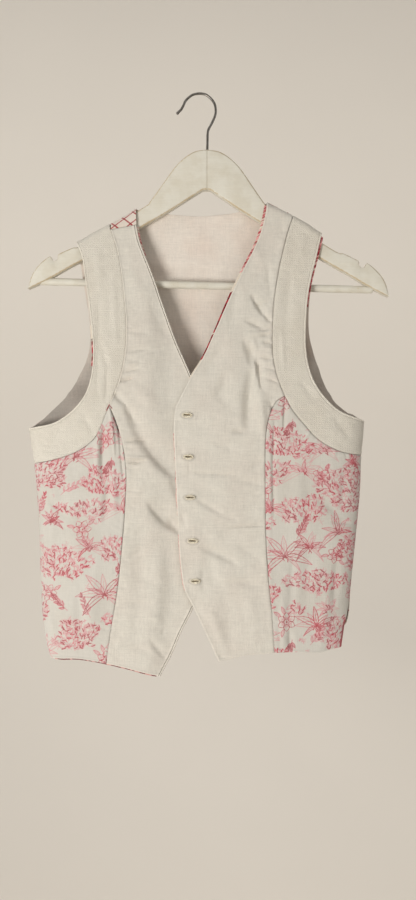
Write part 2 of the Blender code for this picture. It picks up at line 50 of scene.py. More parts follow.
# ================================================================= camera, light and stage
SCALE, CENTRE_X, CENTRE_Z, AWAY = 1.2, 10.8, -426.1, 1100.0     # mm a pixel at y = 0, and the camera's axis

camera = bpy.data.objects.new("photo_camera", bpy.data.cameras.new("photo_camera"))
bpy.context.scene.collection.objects.link(camera)
camera.data.sensor_fit = "AUTO"
camera.data.sensor_width = 36
camera.data.lens = 36 * AWAY / (900 * SCALE)
camera.data.clip_end = 50
camera.location = (CENTRE_X * MM, -AWAY * MM, CENTRE_Z * MM)
camera.rotation_euler = (math.radians(90), 0, 0)
bpy.context.scene.camera = camera
bpy.context.scene.view_settings.view_transform = "Standard"


def seen(px, py, y=-26.0):
    """Where a point of the photograph's frame is on the cloth's front, as x and z."""
    f = (AWAY + y) / AWAY
    return CENTRE_X + SCALE * (px - 208) * f, CENTRE_Z + SCALE * (450 - py) * f


def linear(r, g, b):
    """A screen colour, from 0 to 255, as linear light."""
    return tuple(((c / 255 + 0.055) / 1.055) ** 2.4 if c > 10 else c / 255 / 12.92 for c in (r, g, b))


def lamp(name, place, target, size, power, colour=(1, 1, 1)):
    light = bpy.data.lights.new(name, "AREA")
    light.shape = "RECTANGLE"
    light.size, light.size_y = size
    light.energy = power
    light.color = colour
    obj = bpy.data.objects.new(name, light)
    bpy.context.scene.collection.objects.link(obj)
    obj.location = place
    obj.rotation_euler = (Vector(target) - Vector(place)).to_track_quat("-Z", "Y").to_euler()
    return obj


MIDDLE = (0.0, 0.0, -0.4)
lamp("window", (-1.15, -1.7, -0.88), MIDDLE, (0.7, 0.7), 33, (1.0, 0.99, 0.97))
lamp("room", (1.7, -2.0, 0.1), MIDDLE, (1.8, 1.8), 10, (1.0, 0.985, 0.96))
lamp("above", (-0.5, -0.9, 1.6), MIDDLE, (1.2, 1.2), 7, (1.0, 0.99, 0.975))
lamp("behind", (0.9, 1.9, 0.5), MIDDLE, (1.5, 1.5), 12, (1.0, 0.985, 0.96))
lamp("paper_left", (-1.6, 0.7, 0.9), (-0.4, 3.0, 0.0), (1.5, 1.5), 25, (1.0, 0.985, 0.955))
lamp("paper_right", (1.6, 0.7, 0.9), (0.4, 3.0, 0.0), (1.5, 1.5), 20, (1.0, 0.985, 0.955))
lamp("paper_low", (0.0, 0.8, -1.2), (0.0, 3.0, -0.9), (2.0, 0.6), 1.0, (1.0, 0.985, 0.955))

world = bpy.data.worlds.new("studio")
bpy.context.scene.world = world
world.use_nodes = True
world.node_tree.nodes["Background"].inputs["Color"].default_value = (0.80, 0.775, 0.74, 1)
world.node_tree.nodes["Background"].inputs["Strength"].default_value = 0.36


# ================================================================= nodes
class Look:
    """Makes one material's nodes. Each call gives back the socket that it makes."""

    def __init__(self, name, rough=0.8):
        self.material = bpy.data.materials.new(name)
        self.material.use_nodes = True
        self.tree = self.material.node_tree
        self.shader = self.tree.nodes["Principled BSDF"]
        self.shader.inputs["Roughness"].default_value = rough

    def put(self, socket, value):
        if isinstance(value, bpy.types.NodeSocket):
            self.tree.links.new(value, socket)
        elif isinstance(value, (tuple, list)) and len(value) == 3 and len(socket.default_value) == 4:
            socket.default_value = (*value, 1)
        else:
            socket.default_value = value

    def math(self, kind, a, b=0.0, c=0.0, clamp=False):
        node = self.tree.nodes.new("ShaderNodeMath")
        node.operation = kind
        node.use_clamp = clamp
        for socket, value in zip(node.inputs, (a, b, c)):
            self.put(socket, value)
        return node.outputs[0]

    def add(self, *values):
        total = values[0]
        for value in values[1:]:
            total = self.math("ADD", total, value)
        return total

    def times(self, a, b):
        return self.math("MULTIPLY", a, b)

    def mix(self, part, a, b):
        node = self.tree.nodes.new("ShaderNodeMix")
        node.data_type = "RGBA"
        self.put(node.inputs[0], part)
        self.put(node.inputs[6], a)
        self.put(node.inputs[7], b)
        return node.outputs[2]

    def between(self, value, low, high, to_low=0.0, to_high=1.0, kind="SMOOTHSTEP"):
        node = self.tree.nodes.new("ShaderNodeMapRange")
        node.interpolation_type = kind
        for socket, v in zip(node.inputs, (value, low, high, to_low, to_high)):
            self.put(socket, v)
        return node.outputs[0]

    def scaled(self, vector, by):
        node = self.tree.nodes.new("ShaderNodeVectorMath")
        node.operation = "MULTIPLY"
        self.put(node.inputs[0], vector)
        self.put(node.inputs[1], by)
        return node.outputs[0]

    def bright(self, colour, by):
        node = self.tree.nodes.new("ShaderNodeVectorMath")
        node.operation = "SCALE"
        self.put(node.inputs[0], colour)
        self.put(node.inputs["Scale"], by)
        return node.outputs[0]

    def noise(self, vector, stretch=(1, 1, 1), detail=2.0, rough=0.5, offset=0.0):
        """Noise whose grains are stretch units of the vector across."""
        moved = self.scaled(vector, tuple(1 / s for s in stretch))
        if offset:
            node = self.tree.nodes.new("ShaderNodeVectorMath")
            node.operation = "ADD"
            self.put(node.inputs[0], moved)
            self.put(node.inputs[1], (offset, offset * 1.7, offset * 0.6))
            moved = node.outputs[0]
        node = self.tree.nodes.new("ShaderNodeTexNoise")
        self.put(node.inputs["Vector"], moved)
        node.inputs["Scale"].default_value = 1.0
        node.inputs["Detail"].default_value = detail
        node.inputs["Roughness"].default_value = rough
        return node.outputs["Fac"]

    def uv(self, name):
        """A map's coordinates in millimetres."""
        node = self.tree.nodes.new("ShaderNodeUVMap")
        node.uv_map = name
        return self.scaled(node.outputs[0], (1000, 1000, 1000))

    def place(self):
        """The piece's own coordinates in millimetres."""
        node = self.tree.nodes.new("ShaderNodeTexCoord")
        return self.scaled(node.outputs["Object"], (1000, 1000, 1000))

    def attribute(self, name, colour=False):
        node = self.tree.nodes.new("ShaderNodeAttribute")
        node.attribute_name = name
        return node.outputs["Color" if colour else "Fac"]

    def split(self, vector):
        node = self.tree.nodes.new("ShaderNodeSeparateXYZ")
        self.put(node.inputs[0], vector)
        return node.outputs[0], node.outputs[1], node.outputs[2]

    def bump(self, height, distance, strength=1.0):
        node = self.tree.nodes.new("ShaderNodeBump")
        node.inputs["Strength"].default_value = strength
        node.inputs["Distance"].default_value = distance * MM
        self.put(node.inputs["Height"], height)
        self.tree.links.new(node.outputs[0], self.shader.inputs["Normal"])

    def colour(self, value):
        self.put(self.shader.inputs["Base Color"], value)

    def rough(self, value):
        self.put(self.shader.inputs["Roughness"], value)


def woven(look, uv, pitch):
    """The height of a plain weave whose threads are pitch apart, with uneven threads."""
    wander = look.noise(uv, (5, 5, 5), 2.0, 0.5, 3.0)
    u, v, _ = look.split(uv)
    push = look.times(look.math("SUBTRACT", wander, 0.5), pitch * 1.6)
    across = look.math("SINE", look.times(look.add(u, push), math.pi / pitch))
    along = look.math("SINE", look.times(look.add(v, push), math.pi / pitch))
    return look.math("MULTIPLY_ADD", look.times(across, along), 0.5, 0.5)


def cloth_look(name, ground, tint, pitch=0.6, slubs=0.07, coarse=None, more=None, sheen=0.12, thick=0.16,
               shade=0.05):
    """Cloth: a plain weave with thicker threads both ways, and a slow change of tone."""
    look = Look(name, 0.92)
    look.shader.inputs["Sheen Weight"].default_value = sheen
    look.shader.inputs["Sheen Roughness"].default_value = 0.6
    look.shader.inputs["Specular IOR Level"].default_value = 0.25
    uv = look.uv("cloth")
    warp = look.noise(uv, (0.75, 34, 1), 3.0, 0.6)
    weft = look.noise(uv, (30, 0.7, 1), 3.0, 0.6, 9.0)
    thread = look.noise(uv, (1.6, 9, 1), 2.0, 0.6, 4.0)
    cross = look.noise(uv, (8, 1.5, 1), 2.0, 0.6, 6.0)
    tone = look.noise(uv, (46, 60, 1), 3.0, 0.55, 2.0)
    weave = woven(look, uv, pitch)
    # the tone attribute brings painted highlight and shade: along edges and seams, round each buttonhole and low in the
    # lining's armholes
    level = look.add(1.0, look.attribute("tone"), look.times(look.math("SUBTRACT", warp, 0.5), slubs * 2.6),
                     look.times(look.math("SUBTRACT", weft, 0.5), slubs * 2.4),
                     look.times(look.math("SUBTRACT", thread, 0.5), slubs * 2.2),
                     look.times(look.math("SUBTRACT", cross, 0.5), slubs * 2.2),
                     look.times(look.math("SUBTRACT", tone, 0.5), shade),
                     look.times(look.math("SUBTRACT", weave, 0.5), 0.09))
    height = look.add(look.times(weave, 0.55), look.times(warp, 0.9), look.times(weft, 0.9),
                      look.times(thread, 0.8), look.times(cross, 0.8))
    if coarse:
        u, v, _ = look.split(uv)
        wander = look.times(look.math("SUBTRACT", look.noise(uv, (6, 6, 1), 3.0, 0.6, 7.0), 0.5), 3.4)
        a = look.math("SINE", look.times(look.add(u, wander), math.pi * 2 / coarse))
        b = look.math("SINE", look.times(look.add(v, wander), math.pi * 2 / coarse))
        float_a = look.between(a, -0.2, 0.9)
        float_b = look.between(b, -0.2, 0.9)
        knots = look.math("MAXIMUM", look.times(float_a, 0.75), look.times(float_b, 0.9))
        knots = look.math("SUBTRACT", knots, look.times(look.times(float_a, float_b), 0.55))
        level = look.add(level, look.times(look.math("SUBTRACT", knots, 0.5), 0.17))
        height = look.add(look.times(height, 0.6), look.times(knots, 1.9))
    colour = look.mix(look.between(tone, 0.35, 0.7), ground, tint)
    colour = look.bright(colour, level)
    if more:
        colour = more(look, uv, colour)
    look.colour(colour)
    look.bump(height, thick * 1.6, 0.9)
    return look.material


CREAM, CREAM_TINT = linear(210, 204, 192), linear(207, 199, 187)
HUCK, HUCK_TINT = linear(225, 218, 204), linear(219, 211, 196)
PALE, PALE_TINT = linear(203, 198, 188), linear(198, 192, 181)
INSIDE, INSIDE_TINT = linear(224, 214, 202), linear(218, 204, 191)
RED, DEEP_RED, PINK = linear(174, 40, 60), linear(142, 22, 42), linear(208, 144, 148)
LINE_RED, LINE_DEEP = linear(160, 32, 44), linear(112, 14, 28)


def printed(look, uv, colour):
    ink = look.attribute("print")
    grain = look.noise(uv, (1.3, 1.3, 1), 2.0, 0.6, 5.0)
    wear = look.noise(uv, (24, 30, 1), 2.0, 0.5, 8.0)
    body = look.between(look.add(ink, look.times(look.math("SUBTRACT", grain, 0.5), 0.2)), 0.08, 0.55)
    red = look.mix(look.between(ink, 0.4, 0.85), PINK, look.mix(look.between(wear, 0.35, 0.65), RED, DEEP_RED))
    return look.mix(look.times(body, look.between(wear, 0.15, 0.8, 0.92, 0.78)), colour, red)


def checked(look, uv, colour):
    """A red windowpane check, from a map of its own."""
    a, b, _ = look.split(look.uv("check"))
    lines = []
    for value, turn in ((a, 1.0), (b, 2.0)):
        ragged = look.times(look.math("SUBTRACT", look.noise(uv, (0.8, 0.8, 1), 2.0, 0.6, turn), 0.5), 0.7)
        off = look.math("PINGPONG", look.add(value, ragged), 7.0)
        lines.append(look.between(off, 0.72, 1.12, 1.0, 0.0))
    either = look.math("MAXIMUM", *lines)
    both = look.times(*lines)
    faded = look.between(look.noise(uv, (9, 9, 1), 2.0, 0.5, 1.5), 0.3, 0.7, 0.82, 0.97)
    return look.mix(look.times(either, faded), colour, look.mix(both, LINE_RED, LINE_DEEP))


def dyed(look, uv, colour):
    """Narrow facings: the colours of their checks come with the mesh, thread by thread."""
    return look.bright(look.attribute("dye", colour=True), look.between(
        look.noise(uv, (0.7, 0.7, 1), 2.0, 0.6), 0.2, 0.8, 0.82, 1.12))


linen = cloth_look("gilet_linen", CREAM, CREAM_TINT, slubs=0.085, shade=0.09)
inner_linen = cloth_look("gilet_inside", INSIDE, INSIDE_TINT, pitch=0.55, slubs=0.05)
huckaback = cloth_look("gilet_huckaback", HUCK, HUCK_TINT, pitch=0.55, slubs=0.06, coarse=2.2, thick=0.2)
print_cloth = cloth_look("gilet_print", PALE, PALE_TINT, pitch=0.5, slubs=0.04, more=printed, thick=0.12)
lining_cloth = cloth_look("gilet_lining", INSIDE, INSIDE_TINT, pitch=0.55, slubs=0.075, shade=0.08)
check_cloth = cloth_look("gilet_check", linear(222, 212, 200), linear(214, 200, 186), pitch=0.5, slubs=0.05,
                         more=checked)
facing_cloth = cloth_look("gilet_facing", CREAM, CREAM_TINT, more=dyed, thick=0.1)


def thread_look(name, ground, dark):
    look = Look(name, 0.75)
    look.shader.inputs["Sheen Weight"].default_value = 0.15
    at = look.place()
    fine = look.noise(at, (0.35, 0.35, 0.35), 3.0, 0.65)
    slow = look.noise(at, (4, 4, 4), 2.0, 0.5, 3.0)
    colour = look.mix(look.between(fine, 0.3, 0.7), dark, ground)
    look.colour(look.bright(colour, look.between(slow, 0.3, 0.7, 0.93, 1.05)))
    look.bump(fine, 0.12, 0.8)
    return look.material


cream_thread = thread_look("cream_thread", linear(236, 229, 211), linear(204, 193, 168))
red_thread = thread_look("red_thread", linear(178, 40, 52), linear(110, 16, 28))


def horn_look():
    look = Look("button_horn", 0.32)
    look.shader.inputs["Coat Weight"].default_value = 0.3
    look.shader.inputs["Coat Roughness"].default_value = 0.15
    at = look.place()
    streak = look.noise(at, (1.1, 7, 5), 4.0, 0.6)
    slow = look.noise(at, (6, 6, 6), 2.0, 0.5, 5.0)
    colour = look.mix(look.between(streak, 0.35, 0.68), linear(196, 168, 126), linear(228, 208, 170))
    colour = look.mix(look.between(slow, 0.5, 0.8, 0.0, 0.35), colour, linear(140, 104, 70))
    look.colour(colour)
    look.rough(look.between(streak, 0.3, 0.7, 0.26, 0.42))
    look.bump(streak, 0.05, 0.5)
    return look.material


def paint_look():
    """Cream paint over wood: brush marks along the arms, thin places on the edges, and a joint at the middle."""
    look = Look("hanger_paint", 0.5)
    look.shader.inputs["Specular IOR Level"].default_value = 0.4
    at = look.place()
    x, y, z = look.split(at)
    brush = look.noise(at, (26, 1.2, 1.6), 4.0, 0.6)
    grain = look.noise(at, (60, 0.8, 2.6), 3.0, 0.65, 6.0)
    patch = look.noise(at, (19, 19, 19), 4.0, 0.6, 3.0)
    fleck = look.noise(at, (2.2, 2.2, 2.2), 4.0, 0.7, 8.0)
    edge = look.attribute("edge")
    colour = look.mix(look.between(patch, 0.35, 0.7), linear(215, 210, 196), linear(207, 200, 183))
    colour = look.bright(colour, look.between(brush, 0.25, 0.75, 0.965, 1.02))
    wear_and_shade = look.times(look.between(look.add(look.times(edge, 0.34), look.times(fleck, 0.5), look.times(patch, 0.3)),
                                   0.62, 0.74), 0.75)
    colour = look.mix(wear_and_shade, colour, linear(184, 162, 122))
    joint = look.between(look.math("ABSOLUTE", look.math("SUBTRACT", x, 9.7)), 0.15, 0.55, 1.0, 0.0)
    joint = look.times(joint, look.between(z, -200.0, -199.0))
    colour = look.mix(look.times(joint, 0.5), colour, linear(150, 134, 104))
    look.colour(colour)
    look.rough(look.between(fleck, 0.3, 0.7, 0.42, 0.62))
    look.bump(look.add(look.times(brush, 0.5), look.times(grain, 0.5), look.times(wear_and_shade, -0.8),
                       look.times(joint, -1.6)), 0.22, 0.7)
    return look.material


def steel_look():
    look = Look("hook_steel", 0.3)
    look.shader.inputs["Metallic"].default_value = 1.0
    at = look.place()
    scratch = look.noise(at, (0.5, 0.5, 7), 3.0, 0.6)
    spots = look.noise(at, (2.5, 2.5, 2.5), 4.0, 0.7, 4.0)
    colour = look.mix(look.between(spots, 0.5, 0.72), linear(128, 124, 118), linear(84, 74, 62))
    look.colour(colour)
    look.rough(look.between(scratch, 0.3, 0.7, 0.22, 0.42))
    look.bump(scratch, 0.03, 0.5)
    return look.material


horn, paint, steel = horn_look(), paint_look(), steel_look()


def stage_look(name, tone):
    look = Look(name, 0.95)
    at = look.place()
    cloud = look.noise(at, (900, 900, 900), 2.0, 0.5)
    look.colour(look.bright(tone, look.between(cloud, 0.3, 0.7, 0.985, 1.01)))
    return look.material


# The floor curves up into a wall far behind the piece.
def make_stage():
    profile = [(-4.0, -1.75), (1.6, -1.75)]
    for k in range(1, 25):
        a = math.radians(90 * k / 24)
        profile.append((1.6 + 1.5 * math.sin(a), -1.75 + 1.5 * (1 - math.cos(a))))
    profile.append((3.1, 3.4))
    verts = [(x, y, z) for y, z in profile for x in (-5.0, 5.0)]
    faces = [(2 * i, 2 * i + 1, 2 * i + 3, 2 * i + 2) for i in range(len(profile) - 1)]
    mesh = bpy.data.meshes.new("studio_floor")
    mesh.from_pydata(verts, [], faces)
    mesh.shade_smooth()
    mesh.materials.append(stage_look("studio_paper", linear(222, 215, 205)))
    obj = bpy.data.objects.new("studio_floor", mesh)
    bpy.context.scene.collection.objects.link(obj)


make_stage()

# ================================================================= the garment's lines, as in the part
FRONT_WALL, BACK_WALL, LINING_WALL, FACING_WALL = 1.6, 1.0, 1.0, 0.8
SEAM_GAP = 0.3
SHOULDER_ROUND, LAP_DEPTH, LAP_FROM, LAP_TO = 9.6, 5.8, -64.0, -30.0
BACK_HEM_RISE = 22.0
BUTTON_ACROSS, BUTTON_THICK = 18.0, 2.8

SWELL = ((-60, 0, 0), (-140, 0, 0), (-200, 4, 4), (-280, 10, 8), (-340, 15, 11), (-400, 18, 14),
         (-480, 17, 15), (-560, 15, 14), (-620, 14, 13), (-720, 13, 12))
RIDGE = ((-215, -212), (-147, -177.5), (-127, -166), (-107, -155.5), (-91, -147), (-75.5, -136.5),
         (-60, -120), (-36, -90), (10, -60), (56, -90), (72, -113), (82, -129), (97, -137),
         (114, -146), (131, -155.5), (147, -166.5), (215, -205))
NECK_RIGHT = ((-74.5, -158), (-70.5, -177), (-64.5, -193.5), (-53.5, -222), (-41, -257.5),
              (-27, -296.5), (-8.5, -339), (5, -372))
EDGE_RIGHT = ((5, -372), (5, -484.5), (2.5, -588), (-7.5, -615), (-21, -642), (-31.5, -667), (-45.5, -693))
BAND_RIGHT = ((-105, -164), (-97, -190), (-92, -216.5), (-88.5, -246.5), (-86, -279), (-87, -311),
              (-92.5, -340), (-105, -373.5))
PRINCESS_RIGHT = ((-105, -373.5), (-95, -398.5), (-88, -426), (-85, -456.5), (-86.5, -491.5),
                  (-90, -537.5), (-95.5, -588), (-101.5, -626), (-109, -677.5))
BAND_FOOT_RIGHT = ((-105, -373.5), (-117.5, -404.5), (-126.5, -416.5), (-142.5, -427.5),
                   (-162, -435), (-180.5, -439.5), (-197.5, -442))
ARM_RIGHT_FRONT = ((-147, -177.5), (-139, -196), (-134.5, -225), (-129.5, -258.5), (-125.5, -292),
                   (-124.5, -316.5), (-126.5, -339), (-133.5, -360.5), (-145, -376), (-159.5, -388),
                   (-175, -395.5), (-204, -400.5))
SIDE_RIGHT = ((-204, -400.5), (-200.5, -421.5), (-197.5, -442), (-194.5, -474), (-191.5, -522),
              (-190, -570), (-188, -613.5), (-183.5, -645.5), (-175, -672))
HEM_RIGHT = ((-175, -672), (-162, -672.5), (-144.5, -672), (-128, -674), (-109, -677.5),
             (-86.5, -682.5), (-67, -687.5), (-45.5, -693))
NECK_LEFT = ((82, -129), (77, -155), (68.5, -180.5), (56.5, -204.5), (45.5, -227), (32.5, -255),
             (18.5, -287.5), (5, -317), (-8.5, -339), (-21, -363.5), (-27, -375.5))
EDGE_LEFT = ((-27, -375.5), (-28.8, -388), (-29, -414.5), (-26.5, -467), (-24, -523.5),
             (-21, -564.5), (-17, -589), (-8, -608), (3, -630.5), (23.5, -675))
BAND_LEFT = ((113, -145.5), (106, -166), (98.5, -195), (93, -222.5), (89, -249), (87, -278.5),
             (87, -313), (92, -339.5), (100.5, -362.5))
PRINCESS_LEFT = ((100.5, -362.5), (89.5, -371), (81.5, -391), (78, -420), (78, -491.5),
                 (79, -531.5), (82, -580), (86, -618.5), (89, -664.5))
BAND_FOOT_LEFT = ((100.5, -362.5), (111, -381), (124.5, -397.5), (138, -412), (155, -423),
                  (172.5, -429.5), (194.5, -432.5))
ARM_LEFT_FRONT = ((147, -166.5), (142.5, -184), (138.5, -201), (132, -227.5), (128, -253),
                  (126, -284.5), (126.5, -311), (131.5, -335.5), (140.5, -354), (154, -370.5),
                  (169.5, -382), (198, -391.5))
SIDE_LEFT = ((198, -391.5), (196.5, -414), (194.5, -432.5), (193, -474), (189, -519.5),
             (185, -558), (181.5, -594), (177.5, -614), (173.3, -635.7), (169, -660))
HEM_LEFT = ((23.5, -675), (39, -671.5), (56, -667.5), (89, -664.5), (114.5, -664),
            (140, -665.5), (155, -662), (169, -660))
BACK_NECK = ((-75.5, -136.5), (-59.5, -138.5), (-37.5, -141), (-13, -143), (5.5, -143.5),
             (33, -141), (50, -138), (68, -133), (82, -129))
ARM_RIGHT_BACK = ((-147, -177.5), (-139.5, -226), (-133, -268.5), (-131.5, -296.5), (-135.5, -315.5),
                  (-145.5, -337.5), (-159.5, -359), (-173, -372.5), (-188.5, -386), (-204, -400.5))
ARM_LEFT_BACK = ((147, -166.5), (138, -214), (133.5, -250), (133, -283), (138, -307), (145.5, -329),
                 (154, -349.5), (165.5, -368), (179.5, -379), (198, -391.5))
SIDE_LEFT_BACK = ((198, -391.5), (196.5, -414), (194.5, -432.5), (193, -474), (189, -519.5),
                  (185, -558), (181.5, -594), (181, -609), (179, -627), (175.5, -636))
SIDE_RIGHT_BACK = ((-204, -400.5), (-200.5, -421.5), (-197.5, -442), (-194.5, -474), (-191.5, -522),
                   (-190, -570), (-188, -613.5), (-186, -640))
YOKE_SEAM = ((-105, -164), (-74.5, -158))
BUTTONS = ((-13.5, -385), (-12, -434), (-10, -481.5), (-7, -532.5), (-4, -580))


class Line:
    """A smooth line through rows of x and z, read by the part of its length."""

    def __init__(self, rows=None, points=None, parts=None):
        if points is None:
            p = np.asarray(rows, float)
            if len(p) == 2:
                points = p[0] + (p[1] - p[0]) * np.linspace(0, 1, 200)[:, None]
            else:
                ends = np.vstack([2 * p[0] - p[1], p, 2 * p[-1] - p[-2]])
                run = np.concatenate([[0], np.cumsum(np.linalg.norm(np.diff(p, axis=0), axis=1))])
                t = np.unique(np.concatenate([np.linspace(0, run[-1], 1600), run]))
                i = np.clip(np.searchsorted(run, t, side="right") - 1, 0, len(p) - 2)
                f = ((t - run[i]) / (run[i + 1] - run[i]))[:, None]
                a, b, c, d = ends[i], ends[i + 1], ends[i + 2], ends[i + 3]
                points = 0.5 * (2 * b + (c - a) * f + (2 * a - 5 * b + 4 * c - d) * f ** 2
                                + (3 * b - 3 * c + d - a) * f ** 3)
        self.points = points
        run = np.concatenate([[0], np.cumsum(np.linalg.norm(np.diff(points, axis=0), axis=1))])
        self.length = run[-1]
        self.parts = run / run[-1] if parts is None else parts

    def __call__(self, t):
        return np.stack([np.interp(t, self.parts, self.points[:, k]) for k in (0, 1)], -1)

    def turned(self):
        return Line(points=self.points[::-1], parts=1 - self.parts[::-1])


def joined(lines, shares):
    """Several lines as one, each taking its share of the whole."""
    points, parts, at = [], [], 0.0
    for line, share in zip(lines, shares):
        points.append(line.points)
        parts.append(at + line.parts * share)
        at += share
    return Line(points=np.vstack(points), parts=np.concatenate(parts))


RIDGE_LINE = Line(RIDGE)
SIDE_R, SIDE_L = Line(SIDE_RIGHT_BACK), Line(SIDE_LEFT_BACK)
SWELL_FRONT = Line([(f, z) for z, f, b in SWELL])
SWELL_BACK = Line([(b, z) for z, f, b in SWELL])


def by_z(line, z):
    return np.interp(z, line.points[::-1, 1], line.points[::-1, 0])


def ridge_at(x):
    return np.interp(x, RIDGE_LINE.points[:, 0], RIDGE_LINE.points[:, 1])


def section(x, z, swell):
    """Depth of the cloth at x and z, in front of or behind the middle plane, without its sign."""
    right, left = by_z(SIDE_R, z), by_z(SIDE_L, z)
    u = np.clip(np.abs((x - (right + left) / 2) / ((left - right) / 2)), 0, 1)
    down = np.clip(ridge_at(x) - z, 0, SHOULDER_ROUND)
    over = np.sqrt(SHOULDER_ROUND ** 2 - (SHOULDER_ROUND - down) ** 2)
    return over * np.sqrt(1 - u ** 12) + by_z(swell, z) * np.sqrt(1 - u ** 5)


def lap(x):
    t = np.clip((x - LAP_FROM) / (LAP_TO - LAP_FROM), 0, 1)
    return LAP_DEPTH * t * t * (3 - 2 * t)


def front(x, z):
    return -section(x, z, SWELL_FRONT)


def front_under(x, z):
    return front(x, z) + lap(x)


def back(x, z):
    return section(x, z, SWELL_BACK)


# ================================================================= creases
# Each row: from and to, as points of the photograph's frame; bow in mm; half widths in mm on the
# image-left (or lower) side and on the image-right (or upper) side; height in mm, below 0 for a trough.
CREASES_RIGHT = (       # the wearer's right front
    (127, 410, 178, 480, -6, 6, 17, -2.8), (148, 503, 178, 533, -2, 4, 12, -2.3),
    (168, 519, 178.5, 534, 0, 3, 6, -1.4), (150, 462, 174, 500, 3, 9, 9, 0.9),
    (124, 442, 148, 441, 1, 2.2, 3.4, -1.6), (124, 457, 149, 458, 0, 1.8, 2.0, 1.2),
    (125, 462, 146, 461, -1, 2.0, 2.8, -1.4), (125, 470, 140, 468, 0, 2.2, 3, -0.6),
    (126, 491, 139, 491, 0, 1.8, 2.6, -0.55), (126, 507, 137, 507, 0, 1.8, 2.6, -0.5),
    (119, 382, 135, 377, 0, 1.6, 2.6, -1.6), (123, 372, 140, 368, 0, 1.8, 2.6, -1.1),
    (124, 366, 138, 362, 0, 1.8, 2.0, 0.8), (126, 351, 149, 348, 0, 2, 3, -0.9),
    (139, 354, 166, 350, 1, 2.4, 3, -0.45), (127, 330, 150, 333, 0, 3, 4, -0.4),
    (113, 393, 126, 405, 0, 3, 4, -1.9), (124, 403, 137, 426, 0, 3, 5, -1.5),
    (133, 386, 152, 402, 0, 7, 8, 0.7), (124, 603, 151, 606, 0, 3, 4, -0.5),
    (140, 520, 136, 640, 2, 10, 14, -1.1), (160, 545, 157, 625, 0, 9, 9, 0.9),
    (149, 640, 166, 661, 0, 3, 4.5, -0.9), (161, 636, 166, 629, 0, 2, 3, -0.5),
    (130, 648, 152, 655, 1, 3, 4, -0.5), (146, 615, 163, 622, 0, 4, 5, 0.5),
    (150, 300, 165, 335, 0, 6, 8, -0.6), (128, 262, 141, 300, 0, 7, 7, 0.5),
    (144, 480, 131, 500, 0, 5, 5, 0.5), (172, 480, 178, 500, 0, 4, 5, -0.8),
    (128, 560, 143, 549, 0, 3, 4, -0.45), (133, 575, 163, 590, 2, 5, 7, -0.5),
)
CREASES_LEFT = (        # the wearer's left front, on top
    (232, 432, 247, 432, 0, 2.0, 4.2, -1.4), (190, 472.3, 239, 475, -1, 1.2, 2.2, -1.0),
    (189, 462, 189, 473, 0, 1.6, 1.8, -0.3), (197, 501.5, 223, 516, 1, 2.0, 4.4, -1.3),
    (221, 515, 238, 521, 0, 2, 4, -0.6), (224, 529, 265, 526, 1, 1.3, 2.4, -0.85),
    (200.5, 548, 237, 565, 1, 3, 6.5, -1.8), (207, 552, 214, 587, 0, 7, 8, -1.0),
    (203, 563, 203, 592, 0, 4, 4, -0.5), (252, 294, 265, 315, 0, 2.5, 5, -2.3),
    (265, 314, 271.5, 321, 0, 2, 3, -1.5), (246, 320, 264, 327, 0, 2, 3.4, -1.5),
    (257, 303, 272, 300, 0, 1.6, 2.4, -0.9), (259, 329, 273, 327, 0, 1.6, 2.2, -1.1),
    (262, 341, 274, 343, 0, 1.5, 2.2, -1.1), (262, 347, 275, 349, 0, 1.6, 1.6, 0.8),
    (245, 334, 270, 331, 0, 2.5, 2.5, 0.7), (254, 340, 256, 376, 0, 3, 3, 1.4),
    (250, 345, 262, 392, 3, 3, 5, -2.5), (251, 372, 248, 432, -1, 6, 9, -2.9),
    (262, 393, 262, 433, 0, 5, 5, 1.8), (238, 545, 263, 561, 0, 5, 6, -0.7),
    (260, 335, 273, 333, 0, 1.4, 2.0, -1.1), (258, 356, 274, 359, 0, 1.5, 2.2, -1.2),
    (261, 366, 276, 370, 0, 1.4, 2.0, -1.0), (264, 377, 279, 383, 0, 1.4, 2.2, -1.1),
    (244, 340, 252, 366, 2, 4, 7, -1.8), (270, 400, 276, 424, 0, 2, 3, -1.2),
    (226, 372, 216, 400, 2, 6, 8, -1.0), (228, 582, 262, 588, 2, 4, 7, -0.9),
    (214, 575, 246, 580, 0, 4, 6, 0.7), (236, 480, 264, 485, 0, 3, 5, -0.8),
    (216, 655, 233, 662, 0, 2.5, 3, -0.6), (226, 600, 232, 650, 0, 9, 10, -0.8),
    (250, 590, 254, 645, 0, 8, 8, 0.7), (210, 610, 222, 640, 0, 6, 6, 0.6),
    (225, 345, 205, 372, 0, 6, 8, -0.8), (238, 285, 230, 330, 0, 6, 8, -0.6),
    (215, 392, 236, 412, 0, 6, 8, -0.7), (212, 442, 240, 452, 0, 4, 6, -0.6),
    (181, 512, 186, 528, 0, 3, 4, -0.6), (180, 447, 184, 458, 0, 3, 3, -0.5),
    (250, 470, 264, 460, 0, 3, 4, -0.6), (246, 492, 266, 497, 0, 2, 3, -0.5),
    (206, 484, 232, 492, 0, 4, 5, 0.5), (205, 528, 222, 540, 0, 5, 6, 0.6),
    (268, 262, 272, 300, 0, 4, 4, -0.6), (250, 238, 264, 262, 0, 5, 6, 0.5),
    (243, 630, 262, 622, 0, 4, 5, -0.5), (190, 600, 203, 622, 0, 4, 6, -0.5),
)
